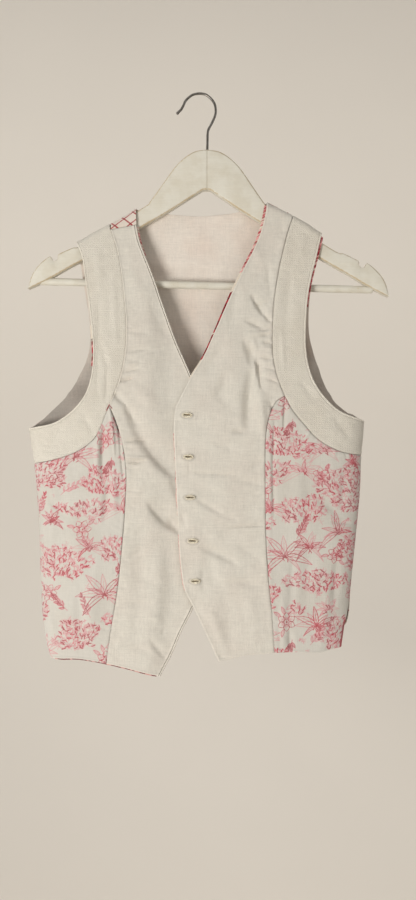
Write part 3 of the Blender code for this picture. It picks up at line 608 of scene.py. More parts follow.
CREASES_PRINT_RIGHT = (
    (109.5, 408, 114.5, 455, 1, 1.9, 1.9, 1.2), (112.8, 411, 120.6, 450, 2, 1.6, 2.2, -1.4),
    (120.3, 447, 124, 484, 0, 1.6, 2.0, -0.8), (103.5, 424, 103, 484, -1, 2.2, 5.2, -1.2),
    (98, 428, 97, 476, 0, 3.2, 3, 1.2), (108, 484, 104, 522, 0, 4, 5.5, -1.2),
    (113, 470, 115, 512, 0, 4, 4, 0.7), (60, 478, 55, 562, 2, 8, 9, -0.9),
    (78, 598, 81, 652, 0, 6, 7, -0.9), (96, 560, 90, 640, -2, 9, 9, 0.8),
    (47, 500, 66, 520, 0, 4, 6, -0.6), (44, 590, 60, 642, 1, 5, 6, -0.7),
    (72, 520, 84, 585, 0, 8, 8, 0.6), (58, 640, 78, 648, 0, 3, 4, -0.6), (88, 500, 76, 520, 0, 4, 6, -0.6),
)
CREASES_PRINT_LEFT = (
    (285, 395, 283.6, 431, 0, 1.4, 2.6, -1.1), (274.3, 422, 272.8, 470, 0, 1.6, 3.2, -0.95),
    (272.8, 467, 274.2, 516, 0, 1.6, 3.2, -0.75), (269.5, 438, 270.5, 542, 0, 2, 2, 0.4),
    (290, 630, 290.5, 653, 0, 2.6, 4.2, -0.9), (283, 598, 284, 652, 0, 4, 4, 0.6),
    (333, 523, 353, 524, 0, 2, 3.4, -0.9), (318, 500, 345, 520, 2, 6, 9, -0.9),
    (300, 470, 296, 540, 0, 9, 9, 0.8), (310, 545, 306, 610, 0, 8, 9, -0.8),
    (328, 590, 322, 648, 0, 7, 7, 0.8), (338, 560, 335, 606, 0, 5, 6, -0.8),
    (293, 560, 290, 620, 0, 5, 6, -0.7), (345, 470, 343, 512, 0, 5, 5, -0.7),
)
CREASES_BANDS = (
    (105.8, 370, 105, 402, 1, 2.2, 4.0, -0.7), (98, 300, 97, 396, 0, 4, 5, -0.6),
    (112, 268, 116, 345, 0, 4, 4, 0.5), (62, 424, 47, 452, 0, 5, 6, -0.6),
    (82, 412, 94, 436, 0, 4, 5, -0.6), (101, 345, 108, 372, 0, 3, 4, -0.6),
    (95, 246, 100, 290, 0, 5, 6, 0.5), (292, 262, 286, 330, 0, 5, 6, -0.6),
    (300, 380, 318, 404, 0, 5, 5, -0.6), (334, 414, 350, 438, 0, 4, 6, -0.6),
    (282, 330, 284, 372, 0, 3, 3, 0.5), (306, 232, 299, 262, 0, 5, 5, 0.5),
)
# On the hidden back, in mm: x and z from and to, then as above.
CREASES_BACK = (
    (-120, -205, 96, -214, 7, 5, 9, -1.3), (-88, -238, 118, -232, -5, 5, 8, -0.9),
    (-148, -330, -96, -372, 3, 5, 10, -1.9), (-160, -352, -118, -414, 2, 6, 9, -1.2),
    (150, -322, 104, -366, -3, 9, 5, -1.8), (163, -348, 130, -402, -2, 8, 5, -1.1),
    (-60, -300, -74, -560, -5, 12, 16, -2.2), (52, -280, 64, -590, 6, 14, 12, -2.1),
    (-6, -360, 2, -610, 3, 12, 12, 1.4), (-126, -440, -134, -618, -3, 10, 11, -1.7),
    (124, -430, 133, -612, 4, 11, 10, -1.8), (-96, -430, -101, -600, 2, 9, 9, 1.2),
    (93, -450, 97, -596, 0, 9, 9, 1.1), (-176, -446, -128, -458, 2, 3, 5, -0.9),
    (172, -440, 126, -452, -2, 5, 3, -0.9), (-170, -520, -120, -512, 2, 4, 6, -0.8),
    (166, -548, 118, -540, 0, 4, 6, -0.8), (-40, -455, 44, -462, 4, 4, 7, -0.9),
    (-66, -500, 20, -512, -3, 4, 6, -0.7), (10, -540, 84, -528, 2, 4, 6, -0.7),
    (-30, -170, 40, -176, 2, 4, 6, -0.7), (-112, -596, -60, -606, 0, 4, 5, -0.7),
    (30, -600, 96, -610, 2, 4, 6, -0.7), (-20, -250, -34, -330, 0, 7, 9, -0.9), (70, -250, 88, -300, 0, 6, 8, -0.8),
)


def in_mm(rows):
    return [(*seen(a, b), *seen(c, d), bow, low, high, by) for a, b, c, d, bow, low, high, by in rows]


DEEPER = 2.3


def creases(x, z, rows):
    """The height of soft creases at x and z. Each fades towards its ends and has its own slope on each side."""
    out = np.zeros_like(x)
    for x0, z0, x1, z1, bow, low, high, by in rows:
        dx, dz = x1 - x0, z1 - z0
        length = math.hypot(dx, dz)
        dx, dz = dx / length, dz / length
        s = ((x - x0) * dx + (z - z0) * dz) / length
        off = -(x - x0) * dz + (z - z0) * dx - bow * 4 * s * (1 - s)
        fade = np.clip(4 * (s + 0.08) * (1.08 - s) / 1.35, 0, None) ** 1.1
        wide = np.where(off < 0, low, high) * (0.6 + 0.4 * fade)
        out += DEEPER * by * fade * np.exp(-(off / wide) ** 2)
    return out


def field(seed, size, x, z):
    """Smooth value noise from -1 to 1 with cells of the given size."""
    table = np.random.default_rng(seed).uniform(-1, 1, (64, 64))
    u, v = x / size + 20.3, z / size + 31.7
    i, j = np.floor(u).astype(int), np.floor(v).astype(int)
    f, g = u - i, v - j
    f, g = f * f * f * (f * (6 * f - 15) + 10), g * g * g * (g * (6 * g - 15) + 10)

    def at(a, b):
        return table[(i + a) % 64, (j + b) % 64]
    return (at(0, 0) * (1 - f) + at(1, 0) * f) * (1 - g) + (at(0, 1) * (1 - f) + at(1, 1) * f) * g


def puckers(rows, seed, side, gap=(7, 15), reach=(7, 17), high=(0.12, 0.4)):
    """Short creases across a seam, on one side of it, as sewing draws up the cloth."""
    rng = np.random.default_rng(seed)
    line = Line(rows)
    at, out = rng.uniform(*gap), []
    while at < line.length - 4:
        p, q = line(at / line.length), line(min(at / line.length + 0.01, 1))
        ahead = (q - p) / np.linalg.norm(q - p)
        away = np.array([-ahead[1], ahead[0]]) * side
        away = away + ahead * rng.uniform(-0.45, 0.45)
        end = p + away * rng.uniform(*reach)
        start = p - away * 1.5
        out.append((*start, *end, rng.uniform(-0.6, 0.6), rng.uniform(1.3, 2.4), rng.uniform(1.3, 2.4),
                    rng.choice([-1, -1, 1]) * rng.uniform(*high)))
        at += rng.uniform(*gap)
    return out


def relief_of(rows, seed, rough=1.0):
    def relief(x, z):
        return (creases(x, z, rows) + rough * (0.9 * field(seed, 47, x, z) + 0.5 * field(seed + 1, 21, x, z)
                                               + 0.17 * field(seed + 2, 9, x, z) + 0.05 * field(seed + 3, 3.6, x, z)))
    return relief


FRONT_SEED = 11
ALL_FRONT = in_mm(CREASES_RIGHT + CREASES_LEFT)
relief_right = relief_of(ALL_FRONT + puckers(BAND_RIGHT, 1, 1) + puckers(PRINCESS_RIGHT, 2, 1)
                         + puckers(EDGE_RIGHT, 4, -1, (14, 26), (6, 12), (0.15, 0.35)), FRONT_SEED)
relief_left = relief_of(ALL_FRONT + puckers(BAND_LEFT, 5, -1) + puckers(PRINCESS_LEFT, 6, -1)
                        + puckers(EDGE_LEFT, 8, 1, (12, 24), (6, 12), (0.15, 0.35)), FRONT_SEED)
relief_print_right = relief_of(in_mm(CREASES_PRINT_RIGHT) + puckers(PRINCESS_RIGHT, 12, -1)
                               + puckers(BAND_FOOT_RIGHT, 13, -1, reach=(6, 12)), FRONT_SEED)
relief_print_left = relief_of(in_mm(CREASES_PRINT_LEFT) + puckers(PRINCESS_LEFT, 14, 1)
                              + puckers(BAND_FOOT_LEFT, 15, -1, reach=(6, 12)), FRONT_SEED)
relief_bands = relief_of(in_mm(CREASES_BANDS), FRONT_SEED, 0.7)
back_creases = relief_of(list(CREASES_BACK), 31, 1.2)
ARM_R, ARM_L = Line(ARM_RIGHT_BACK), Line(ARM_LEFT_BACK)


def relief_back(x, z):
    """The back's armhole edges curl forward low down, where nothing holds them."""
    low = np.clip((-245 - z) / 60, 0, 1) * np.clip((z + 402) / 18, 0, 1)
    reach = 12 + 22 * np.clip((-300 - z) / 90, 0, 1)
    off = np.minimum(np.abs(x - by_z(ARM_R, z)), np.abs(x - by_z(ARM_L, z))) / reach
    return back_creases(x, z) - 8.5 * low * low * (3 - 2 * low) * np.exp(-off ** 2)


def over_buttons(x, z):
    """The top front lifts a little over each button."""
    out = np.zeros_like(x)
    for bx, bz in BUTTONS:
        r = np.hypot(x - bx - 0.5, z - bz)
        out += 0.8 * (1 - np.clip((r - 5.5) / 9.0, 0, 1) ** 2 * (3 - 2 * np.clip((r - 5.5) / 9.0, 0, 1)))
        # the cloth is drawn in a little round the worked edge
        e = np.sqrt(((x - bx) / 7.6) ** 2 + ((z - bz) / 3.9) ** 2)
        out -= 0.4 * np.exp(-((e - 1) / 0.2) ** 2)
    return out


# ================================================================= shells
SEAM = (0, 0.45, 0.9, 1.5, 2.3, 3.3, 4.6)
FREE = (0, 0.3, 0.65, 1.1, 1.7, 2.5, 3.6)
ROLL = (0, 0.3, 0.65, 1.05, 1.45, 1.85, 2.2, 2.6, 3.1, 3.8, 4.8)
TURN = (0, 0.06, 0.2, 0.45, 0.8, 1.3, 2.0, 2.9, 4.0, 5.4)
OVER = (0, 0.05, 0.2, 0.45, 0.8, 1.3, 1.9, 2.7, 3.7, 5.0, 6.6, 8.6)


def spaced(lengths, head, tail, step, multiple=1):
    """Parts of one or more lengths, in one row each, closer together at the ends."""
    lengths = np.atleast_1d(np.asarray(lengths, float))
    head, tail = np.asarray(head, float), np.asarray(tail, float)
    n = max(2, math.ceil((lengths.mean() - head[-1] - tail[-1]) / step))
    n += -(n + len(head) + len(tail) - 2) % multiple
    out = []
    for length in lengths:
        fit = min(1.0, 0.7 * length / (head[-1] + tail[-1]))
        a, b = head * fit, tail * fit
        out.append(np.concatenate([a, np.linspace(a[-1], length - b[-1], n + 1)[1:-1], (length - b)[::-1]]) / length)
    return np.array(out)


def patch(top, bottom, left, right, u, v):
    """The points between four lines, where u and v are the parts across and down."""
    u, v = np.broadcast_arrays(u, v)
    w, s = u[..., None], v[..., None]
    a, b, c, d = top(0.0), top(1.0), bottom(0.0), bottom(1.0)
    return ((1 - s) * top(u) + s * bottom(u) + (1 - w) * left(v) + w * right(v)
            - ((1 - s) * ((1 - w) * a + w * b) + s * ((1 - w) * c + w * d)))


def unit(v):
    return v / np.maximum(np.linalg.norm(v, axis=-1, keepdims=True), 1e-9)


def grid_normals(points, sign):
    n = unit(np.cross(np.gradient(points, axis=1), np.gradient(points, axis=0)))
    middle = n[n.shape[0] // 4:, :, 1].mean()
    return n if middle * sign > 0 else -n


# The form near each kind of edge, by the distance from it and the height.
def seam_edge(d, z):
    return -0.6 * np.exp(-(d / 0.65) ** 2) + 0.25 * np.exp(-((d - 3.4) / 2.0) ** 2)


def raised_edge(d, z):
    """Above the point of the print the seam's edge stands up; below it, it lies flat."""
    up = np.clip((z + 384) / 14, 0, 1)
    return up * 0.8 * np.exp(-((d - 0.7) / 0.75) ** 2) + (1 - up) * seam_edge(d, z) * 0.7


def low_edge(d, z):
    """The side of a seam that lies under the raised one."""
    return -0.2 * np.exp(-(d / 0.9) ** 2)


def free_edge(d, z):
    return -0.5 * np.exp(-(d / 0.55) ** 2) + 0.18 * np.exp(-((d - 2.0) / 1.6) ** 2)


def roll_edge(d, z):
    """A rolled edge: a bead, then the line where it is stitched down."""
    return (-0.5 * np.exp(-(d / 0.5) ** 2) + 0.6 * np.exp(-((d - 1.1) / 0.65) ** 2)
            - 0.75 * np.exp(-((d - 2.3) / 0.42) ** 2) + 0.2 * np.exp(-((d - 3.6) / 0.8) ** 2))


def soft_roll_edge(d, z):
    """The armhole's edge, rolled and stitched less tightly."""
    return roll_edge(d, z) * 0.45


def plain_edge(d, z):
    return np.zeros_like(d)


# Painted highlight and shade along each kind of edge: how much lighter or darker the cloth is there, lighter on beads
# and raised edges, darker in grooves and seam lines.
EDGE_LIGHT_AND_SHADE = {
    seam_edge: lambda d, z: -0.24 * np.exp(-(d / 0.5) ** 2),
    raised_edge: lambda d, z: (np.clip((z + 384) / 14, 0, 1) * (0.26 * np.exp(-((d - 0.5) / 0.8) ** 2)
                                                                - 0.04 * np.exp(-((d - 2.6) / 0.9) ** 2))
                               - (1 - np.clip((z + 384) / 14, 0, 1)) * 0.2 * np.exp(-(d / 0.5) ** 2)),
    low_edge: lambda d, z: -0.05 * np.exp(-((d - 0.9) / 0.8) ** 2),
    roll_edge: lambda d, z: (0.20 * np.exp(-((d - 0.9) / 0.9) ** 2) - 0.46 * np.exp(-((d - 2.4) / 0.5) ** 2)
                             + 0.15 * np.exp(-((d - 3.8) / 0.9) ** 2)),
    soft_roll_edge: lambda d, z: 0.11 * np.exp(-((d - 1.0) / 1.0) ** 2) - 0.13 * np.exp(-((d - 2.5) / 0.5) ** 2),
    free_edge: lambda d, z: 0.06 * np.exp(-((d - 0.7) / 0.8) ** 2) - 0.10 * np.exp(-((d - 2.1) / 0.5) ** 2),
}


class Shell:
    """A grid of points on the cloth: rows down and columns across."""

    def __init__(self, flat, surface, sign, relief, edges, calm=True, set_in=0.0, extra=None, join=0.08):
        """edges gives the profile at the left, right, top and bottom edge, or None for no change there."""
        flat = flat.copy()
        for k, (profile, cut) in enumerate(edges):
            if cut:
                ends = [(np.s_[:, 0], np.s_[:, 1]), (np.s_[:, -1], np.s_[:, -2]),
                        (np.s_[0], np.s_[1]), (np.s_[-1], np.s_[-2])][k]
                flat[ends[0]] += unit(flat[ends[1]] - flat[ends[0]]) * cut
        x, z = flat[..., 0], flat[..., 1]
        y = surface(x, z)
        y = np.minimum(y, -join) if sign < 0 else np.maximum(y, join)
        base = np.stack([x, y, z], -1)
        normal = grid_normals(base, sign)
        across = np.zeros(x.shape)
        across[:, 1:] = np.cumsum(np.linalg.norm(np.diff(base, axis=1), axis=-1), axis=1)
        down = np.zeros(x.shape)
        down[1:] = np.cumsum(np.linalg.norm(np.diff(base, axis=0), axis=-1), axis=0)
        rise = relief(x, z)
        if extra is not None:
            rise = rise + extra(x, z)
        if calm:        # no relief where the cloth turns round at the sides and over the shoulders
            right, left = by_z(SIDE_R, z), by_z(SIDE_L, z)
            side = np.clip(np.minimum(x - right, left - x) / 16, 0, 1)
            top = np.clip((ridge_at(x) - z) / 14, 0, 1)
            rise = rise * side * side * (3 - 2 * side) * top * top * (3 - 2 * top)
        self.soft = base + normal * rise[..., None]
        turned = grid_normals(self.soft, sign)
        shaped, self.tone = np.zeros_like(x), np.zeros_like(x)
        for (profile, cut), d in zip(edges, (across, across[:, -1:] - across, down, down[-1:] - down)):
            if profile is not None:
                shaped = shaped + profile(d, z)
            # each edge adds its painted highlight and shade to the tone
            if profile in EDGE_LIGHT_AND_SHADE:
                self.tone = self.tone + EDGE_LIGHT_AND_SHADE[profile](d, z)
        self.normal = turned
        self.outer = self.soft + turned * (shaped[..., None] - set_in)
        self.inside = self.soft - turned * set_in
        self.x, self.z, self.across, self.down = x, z, across, down
        flat_across = np.zeros(x.shape)
        flat_across[:, 1:] = np.cumsum(np.linalg.norm(np.diff(flat, axis=1), axis=-1), axis=1)
        flat_down = np.zeros(x.shape)
        flat_down[1:] = np.cumsum(np.linalg.norm(np.diff(flat, axis=0), axis=-1), axis=0)
        more = across - flat_across
        self.more_across, self.more_down = more, down - flat_down

    def cloth_map(self, inner="middle"):
        """x and z as they lie once the cloth is laid flat."""
        if inner == "left":
            base = 0.0
        elif inner == "right":
            base = self.more_across[:, -1:]
        else:
            base = self.more_across[:, self.more_across.shape[1] // 2][:, None]
        return np.stack([self.x + self.more_across - base,
                         self.z + self.more_down[-1:] - self.more_down], -1)


def fill_mesh(mesh, verts, groups):
    """groups is a list of faces, each an array with one row a face, and the slot that they wear."""
    loops = np.concatenate([g.ravel() for g, _ in groups])
    sizes = np.concatenate([np.full(len(g), g.shape[1]) for g, _ in groups])
    slots = np.concatenate([np.full(len(g), slot) for g, slot in groups])
    starts = np.concatenate([[0], np.cumsum(sizes)[:-1]])
    mesh.vertices.add(len(verts))
    mesh.vertices.foreach_set("co", (verts * MM).astype(np.float32).ravel())
    mesh.loops.add(len(loops))
    mesh.loops.foreach_set("vertex_index", loops.astype(np.int32))
    mesh.polygons.add(len(sizes))
    mesh.polygons.foreach_set("loop_start", starts.astype(np.int32))
    mesh.update(calc_edges=True)
    mesh.polygons.foreach_set("material_index", slots.astype(np.int32))
    return loops


def add_map(mesh, name, places):
    layer = mesh.uv_layers.new(name=name)
    layer.data.foreach_set("uv", np.ascontiguousarray(places, np.float32).ravel())
    return layer


def finish_mesh(name, mesh, looks, sharp=40):
    for look in looks:
        mesh.materials.append(look)
    mesh.validate()
    mesh.shade_smooth()
    mesh.set_sharp_from_angle(angle=math.radians(sharp))
    obj = bpy.data.objects.new(name, mesh)
    bpy.context.scene.collection.objects.link(obj)
    return obj


def laid_out(flat_map, faces_outer, faces_inner, inner_map, rims):
    """A bake map: the outer face beside the inner one, and the rim's faces in a line above them."""
    low, high = flat_map.min(0), flat_map.max(0)
    w, h = high - low
    small = 1.0 if w < 0.45 * h else 0.5
    k = min(0.96 / (w * (1 + small) + 6), 0.93 / h)
    outer = (flat_map - low) * k + 0.01
    inner = (inner_map - low) * k * small + np.array([0.02 + (w + 4) * k, 0.01])
    parts = [outer[faces_outer.ravel()], inner[faces_inner.ravel()]]
    if len(rims):
        n, size = rims.shape
        chain = size - 2
        x = np.arange(n)[:, None] / n
        t = np.concatenate([np.linspace(1, 0, chain), [0, 1]])[None, :] / n * 0.9
        y = np.concatenate([np.full(chain, 0.99), [0.965, 0.965]])[None, :].repeat(n, 0)
        parts.append(np.stack([(x + t) * 0.98 + 0.01, y], -1).reshape(-1, 2))
    return np.concatenate(parts)


def grid_faces(m, n):
    a = (np.arange(m - 1)[:, None] * n + np.arange(n - 1)[None, :]).ravel()
    return np.stack([a, a + 1, a + n + 1, a + n], 1)


def ring(m, n):
    """The indices round a grid's border, in the direction of its faces."""
    i = np.arange(m * n).reshape(m, n)
    return np.concatenate([i[0, :-1], i[:-1, -1], i[-1, :0:-1], i[:0:-1, 0]])


def faces_out(verts, faces, normals):
    a, b, c = (verts[faces[:, k]] for k in (0, 1, 2))
    return (np.cross(b - a, c - a) * normals[faces[:, 0]]).sum() > 0


def shell_mesh(name, shell, thick, looks, cloth, factor=1, attributes=(), check=None, keep=None, more=None):
    """A closed wall from a shell. With factor 2 or 4 its inner face is that much coarser.
    keep leaves faces out, and more adds rows of points to the outer face; both need factor 1."""
    m, n = shell.x.shape
    outer = shell.outer.reshape(-1, 3)
    normals = shell.normal.reshape(-1, 3)
    cloth = cloth.reshape(-1, 2)
    deep = (shell.inside - shell.normal * thick)[::factor, ::factor].reshape(-1, 3)
    deep_map = cloth.reshape(m, n, 2)[::factor, ::factor].reshape(-1, 2)
    faces = grid_faces(m, n)
    if keep is not None:
        faces = faces[keep.ravel()]
    values = [(key, np.asarray(v, float).reshape(m * n, -1)) for key, v in [("tone", shell.tone), *attributes]]
    checks = None if check is None else check.reshape(-1, 2)
    if more is not None:
        outer = np.vstack([outer, more["points"]])
        normals = np.vstack([normals, more["normals"]])
        deep = np.vstack([deep, more["points"] - more["normals"] * thick])
        cloth = np.vstack([cloth, more["cloth"]])
        deep_map = cloth
        faces = np.vstack([faces, more["faces"]])
        checks = np.vstack([checks, more["check"]])
    if not faces_out(outer, faces, normals):
        faces = faces[:, ::-1]
        flipped = True
    else:
        flipped = False
    count = len(outer)
    if factor == 1:
        inner_faces = faces[:, ::-1] + count
        edges = np.concatenate([faces[:, [k, (k + 1) % 4]] for k in range(4)])
        codes = edges[:, 0].astype(np.int64) * count + edges[:, 1]
        back_codes = edges[:, 1].astype(np.int64) * count + edges[:, 0]
        rim = edges[~np.isin(codes, back_codes)]
        rims = np.stack([rim[:, 1], rim[:, 0], rim[:, 0] + count, rim[:, 1] + count], 1)
    else:
        mm, nn = (m - 1) // factor + 1, (n - 1) // factor + 1
        inner_faces = grid_faces(mm, nn)
        inner_faces = (inner_faces if flipped else inner_faces[:, ::-1]) + count
        around, coarse = ring(m, n), ring(mm, nn)
        k = np.arange(len(coarse))
        columns = [around[(k * factor + factor - j) % len(around)] for j in range(factor + 1)]
        rims = np.stack(columns + [coarse[k] + count, coarse[(k + 1) % len(coarse)] + count], 1)
        if flipped:
            rims = rims[:, ::-1]
    verts = np.vstack([outer, deep])
    mesh = bpy.data.meshes.new(name)
    loops = fill_mesh(mesh, verts, [(faces, 0), (inner_faces, 1), (rims, 0)])
    both = np.vstack([cloth, deep_map])
    add_map(mesh, "cloth", both[loops] * MM)
    if checks is not None:
        add_map(mesh, "check", np.vstack([checks, checks])[loops] * MM)
    add_map(mesh, "OFBake", laid_out(cloth, faces, inner_faces - count, deep_map, rims))
    mesh.uv_layers["cloth"].active_render = True
    for key, value in values:
        inner_value = value.reshape(m, n, -1)[::factor, ::factor].reshape(-1, value.shape[1])
        if more is not None:
            value = np.vstack([value, np.zeros((len(more["points"]), value.shape[1]))])
            inner_value = value
        value = np.vstack([value, inner_value])
        if value.shape[1] == 1:
            layer = mesh.attributes.new(key, "FLOAT", "POINT")
            layer.data.foreach_set("value", value.astype(np.float32).ravel())
        else:
            layer = mesh.attributes.new(key, "FLOAT_COLOR", "POINT")
            rgba = np.hstack([value, np.ones((len(value), 1))])
            layer.data.foreach_set("color", rgba.astype(np.float32).ravel())
    return finish_mesh(name, mesh, looks)


def place_piece(obj, node):
    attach(obj, "root")
    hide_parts(*([node] if isinstance(node, str) else node))


def rows_of(parts, multiple=1):
    """Parts down a patch made of one or more stretches: (share, length, head, tail, step)."""
    out, at = [np.array([0.0])], 0.0
    for share, length, head, tail, step in parts:
        out.append(at + share * spaced(length, head, tail, step, multiple)[0][1:])
        at += share
    return np.concatenate(out)


def columns_of(left, right, v, head, tail, step, multiple=1):
    chord = np.linalg.norm(right(v) - left(v), axis=-1)
    return spaced(chord, head, tail, step, multiple)


CUT = SEAM_GAP * 0.7
HEAD = (0, 1.6)         # plain, with no closer rows
neck_r, edge_r, band_r, princess_r = Line(NECK_RIGHT), Line(EDGE_RIGHT), Line(BAND_RIGHT), Line(PRINCESS_RIGHT)
neck_l, edge_l, band_l, princess_l = Line(NECK_LEFT), Line(EDGE_LEFT), Line(BAND_LEFT), Line(PRINCESS_LEFT)


# ---------------------------------------------------------------- the centre fronts
def make_front_right():
    shares = (0.42, 0.58)
    left, right = joined([band_r, princess_r], shares), joined([neck_r, edge_r], shares)
    v = rows_of([(0.42, 232, SEAM, HEAD, 1.7), (0.58, 325, HEAD, FREE, 1.7)], 2)
    u = columns_of(left, right, v, SEAM, ROLL, 1.6, 2)
    flat = patch(Line(YOKE_SEAM), Line(HEM_RIGHT[4:]), left, right, u, v[:, None])
    shell = Shell(flat, front_under, -1, relief_right,
                  [(raised_edge, CUT), (roll_edge, 0), (seam_edge, CUT), (free_edge, 0)])
    obj = shell_mesh("front_right_cloth", shell, FRONT_WALL, [linen, inner_linen], shell.cloth_map("right"), 2)
    place_piece(obj, "front_right")


def make_front_left():
    shares = (0.45, 0.55)
    left, right = joined([neck_l, edge_l], shares), joined([band_l, princess_l], shares)
    top, bottom = Line([(82, -129), (97, -137), (113, -145.5)]), Line(HEM_LEFT[:4])
    v = rows_of([(0.45, 262, OVER, HEAD, 2.0), (0.55, 312, HEAD, FREE, 2.0)])
    head = list(FREE) + [3.6 + 1.1 * k for k in range(1, 3)] + [5.8 + 0.62 * k for k in range(1, 32)] + [26.4, 28.0]
    # Closer rows at each buttonhole.
    trial = np.linspace(0.46, 0.99, 700)
    u = columns_of(left, right, trial, head, SEAM, 2.0)
    rows = patch(top, bottom, left, right, u, trial[:, None])
    extra = []
    for bx, bz in BUTTONS:
        z_at = np.array([np.interp(bx, row[:, 0], row[:, 1]) for row in rows])
        for d in np.arange(-3.9, 3.91, 0.42):
            extra.append(np.interp(-(bz + d), -z_at, trial))
    extra = np.array(extra).reshape(len(BUTTONS), -1)
    free = np.all([(v < e.min() - 0.0012) | (v > e.max() + 0.0012) for e in extra], axis=0)
    v = np.sort(np.concatenate([v[free], extra.ravel()]))
    u = columns_of(left, right, v, head, SEAM, 2.0)
    flat = patch(top, bottom, left, right, u, v[:, None])
    keep = np.ones((flat.shape[0] - 1, flat.shape[1] - 1), bool)
    middle = (flat[:-1, :-1] + flat[1:, :-1] + flat[:-1, 1:] + flat[1:, 1:]) / 4
    for bx, bz in BUTTONS:
        wide, high = HOLE_WIDE, HOLE_HIGH
        inside = ((middle[..., 0] - bx) / wide) ** 2 + ((middle[..., 1] - bz) / high) ** 2 < 1
        keep &= ~inside
        gone = np.zeros(flat.shape[:2], bool)
        held = np.zeros(flat.shape[:2], bool)
        for a, b in ((0, 0), (1, 0), (0, 1), (1, 1)):
            span = np.s_[a:flat.shape[0] - 1 + a, b:flat.shape[1] - 1 + b]
            gone[span] |= inside
            held[span] |= ~inside
        edge = gone & held
        turn = np.arctan2((flat[edge][:, 1] - bz) / high, (flat[edge][:, 0] - bx) / wide)
        flat[edge] = np.stack([bx + wide * np.cos(turn), bz + high * np.sin(turn)], -1)
    shell = Shell(flat, front, -1, relief_left,
                  [(free_edge, 0), (seam_edge, CUT), (plain_edge, 0), (free_edge, 0)], extra=over_buttons)
    for bx, bz in BUTTONS:      # painted shade, a little darker close round each worked edge
        e = np.sqrt(((shell.x - bx) / 7.4) ** 2 + ((shell.z - bz) / 4.0) ** 2)
        shell.tone = shell.tone - 0.17 * np.exp(-((e - 1.06) / 0.16) ** 2)
    obj = shell_mesh("front_left_cloth", shell, FRONT_WALL, [linen, inner_linen], shell.cloth_map("left"), 1,
                     keep=keep)
    place_piece(obj, "front_left")


HOLE_WIDE, HOLE_HIGH = 4.8, 1.25


def top_surface(x, z):
    """Where the face of the top front is, as y."""
    return front(x, z) - relief_left(x, z) - over_buttons(x, z)


def tube(path, radius, sides=6, close=False):
    """Points and faces of a round thread along a path in millimetres."""
    path = np.asarray(path, float)
    n = len(path)
    ahead = unit(np.roll(path, -1, 0) - np.roll(path, 1, 0)) if close else unit(np.gradient(path, axis=0))
    guide = np.array([0.0, 1.0, 0.0])
    side = np.cross(ahead, guide)
    side = np.where(np.linalg.norm(side, axis=1, keepdims=True) < 0.05, np.cross(ahead, [1.0, 0.0, 0.0]), side)
    side = unit(side)
    up = np.cross(side, ahead)
    radius = np.broadcast_to(radius, (n,))[:, None, None]
    a = np.linspace(0, 2 * math.pi, sides, endpoint=False)
    rings = path[:, None] + radius * (np.cos(a)[None, :, None] * side[:, None] + np.sin(a)[None, :, None] * up[:, None])
    verts = rings.reshape(-1, 3)
    i = np.arange(n if close else n - 1)[:, None] * sides
    j = np.arange(sides)[None, :]
    nxt = (i + sides) % (n * sides)
    faces = np.stack([(i + j), (i + (j + 1) % sides), (nxt + (j + 1) % sides), (nxt + j)], -1).reshape(-1, 4)
    return verts, faces[:, ::-1], [] if close else [np.arange(sides), np.arange(sides)[::-1] + (n - 1) * sides]


class Bundle:
    """Many small tubes as one mesh."""

    def __init__(self):
        self.verts, self.quads, self.caps, self.count = [], [], [], 0

    def add(self, path, radius, sides=6, close=False):
        verts, faces, caps = tube(path, radius, sides, close)
        self.verts.append(verts)
        self.quads.append(faces + self.count)
        for cap in caps:
            self.caps.append(cap + self.count)
        self.count += len(verts)

    def mesh(self, name, look):
        mesh = bpy.data.meshes.new(name)
        groups = [(np.vstack(self.quads), 0)]
        if self.caps:
            groups.append((np.array(self.caps), 0))
        fill_mesh(mesh, np.vstack(self.verts), groups)
        return finish_mesh(name, mesh, [look], 60)


def make_buttonholes():
    """Worked buttonholes: a cord round the slit and stitches laid over it, side by side."""
    rng = np.random.default_rng(5)
    made = Bundle()
    for bx, bz in BUTTONS:
        count = 62
        for k in range(count):
            a = 2 * math.pi * (k + rng.uniform(-0.2, 0.2)) / count
            # even along the slit, and fanned at its ends
            a = a + 0.32 * math.sin(2 * a)
            px, pz = math.cos(a) * HOLE_WIDE, math.sin(a) * HOLE_HIGH
            nx, nz = math.cos(a) / HOLE_WIDE, math.sin(a) / HOLE_HIGH
            long = math.hypot(nx, nz)
            nx, nz = nx / long, nz / long
            reach = rng.uniform(1.45, 1.85)
            path = []
            for out, lift in ((-0.15, 0.9), (-0.25, 0.2), (-0.05, -0.7), (0.5, -1.15), (reach * 0.75, -0.85),
                              (reach, 0.15)):
                x, z = bx + px + nx * out, bz + pz + nz * out
                path.append((x, float(top_surface(np.array(x), np.array(z))) + lift, z))
            made.add(path, rng.uniform(0.24, 0.31), 5)
        for out, lift, radius in ((0.05, -0.2, 0.3),):
            ring_path = []
            for k in range(56):
                a = 2 * math.pi * k / 56
                x = bx + math.cos(a) * (HOLE_WIDE + out)
                z = bz + math.sin(a) * (HOLE_HIGH + out)
                ring_path.append((x, float(top_surface(np.array(x), np.array(z))) + lift, z))
            made.add(ring_path, radius, 6, True)
    obj = made.mesh("buttonhole_stitches", cream_thread)
    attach(obj, "root")


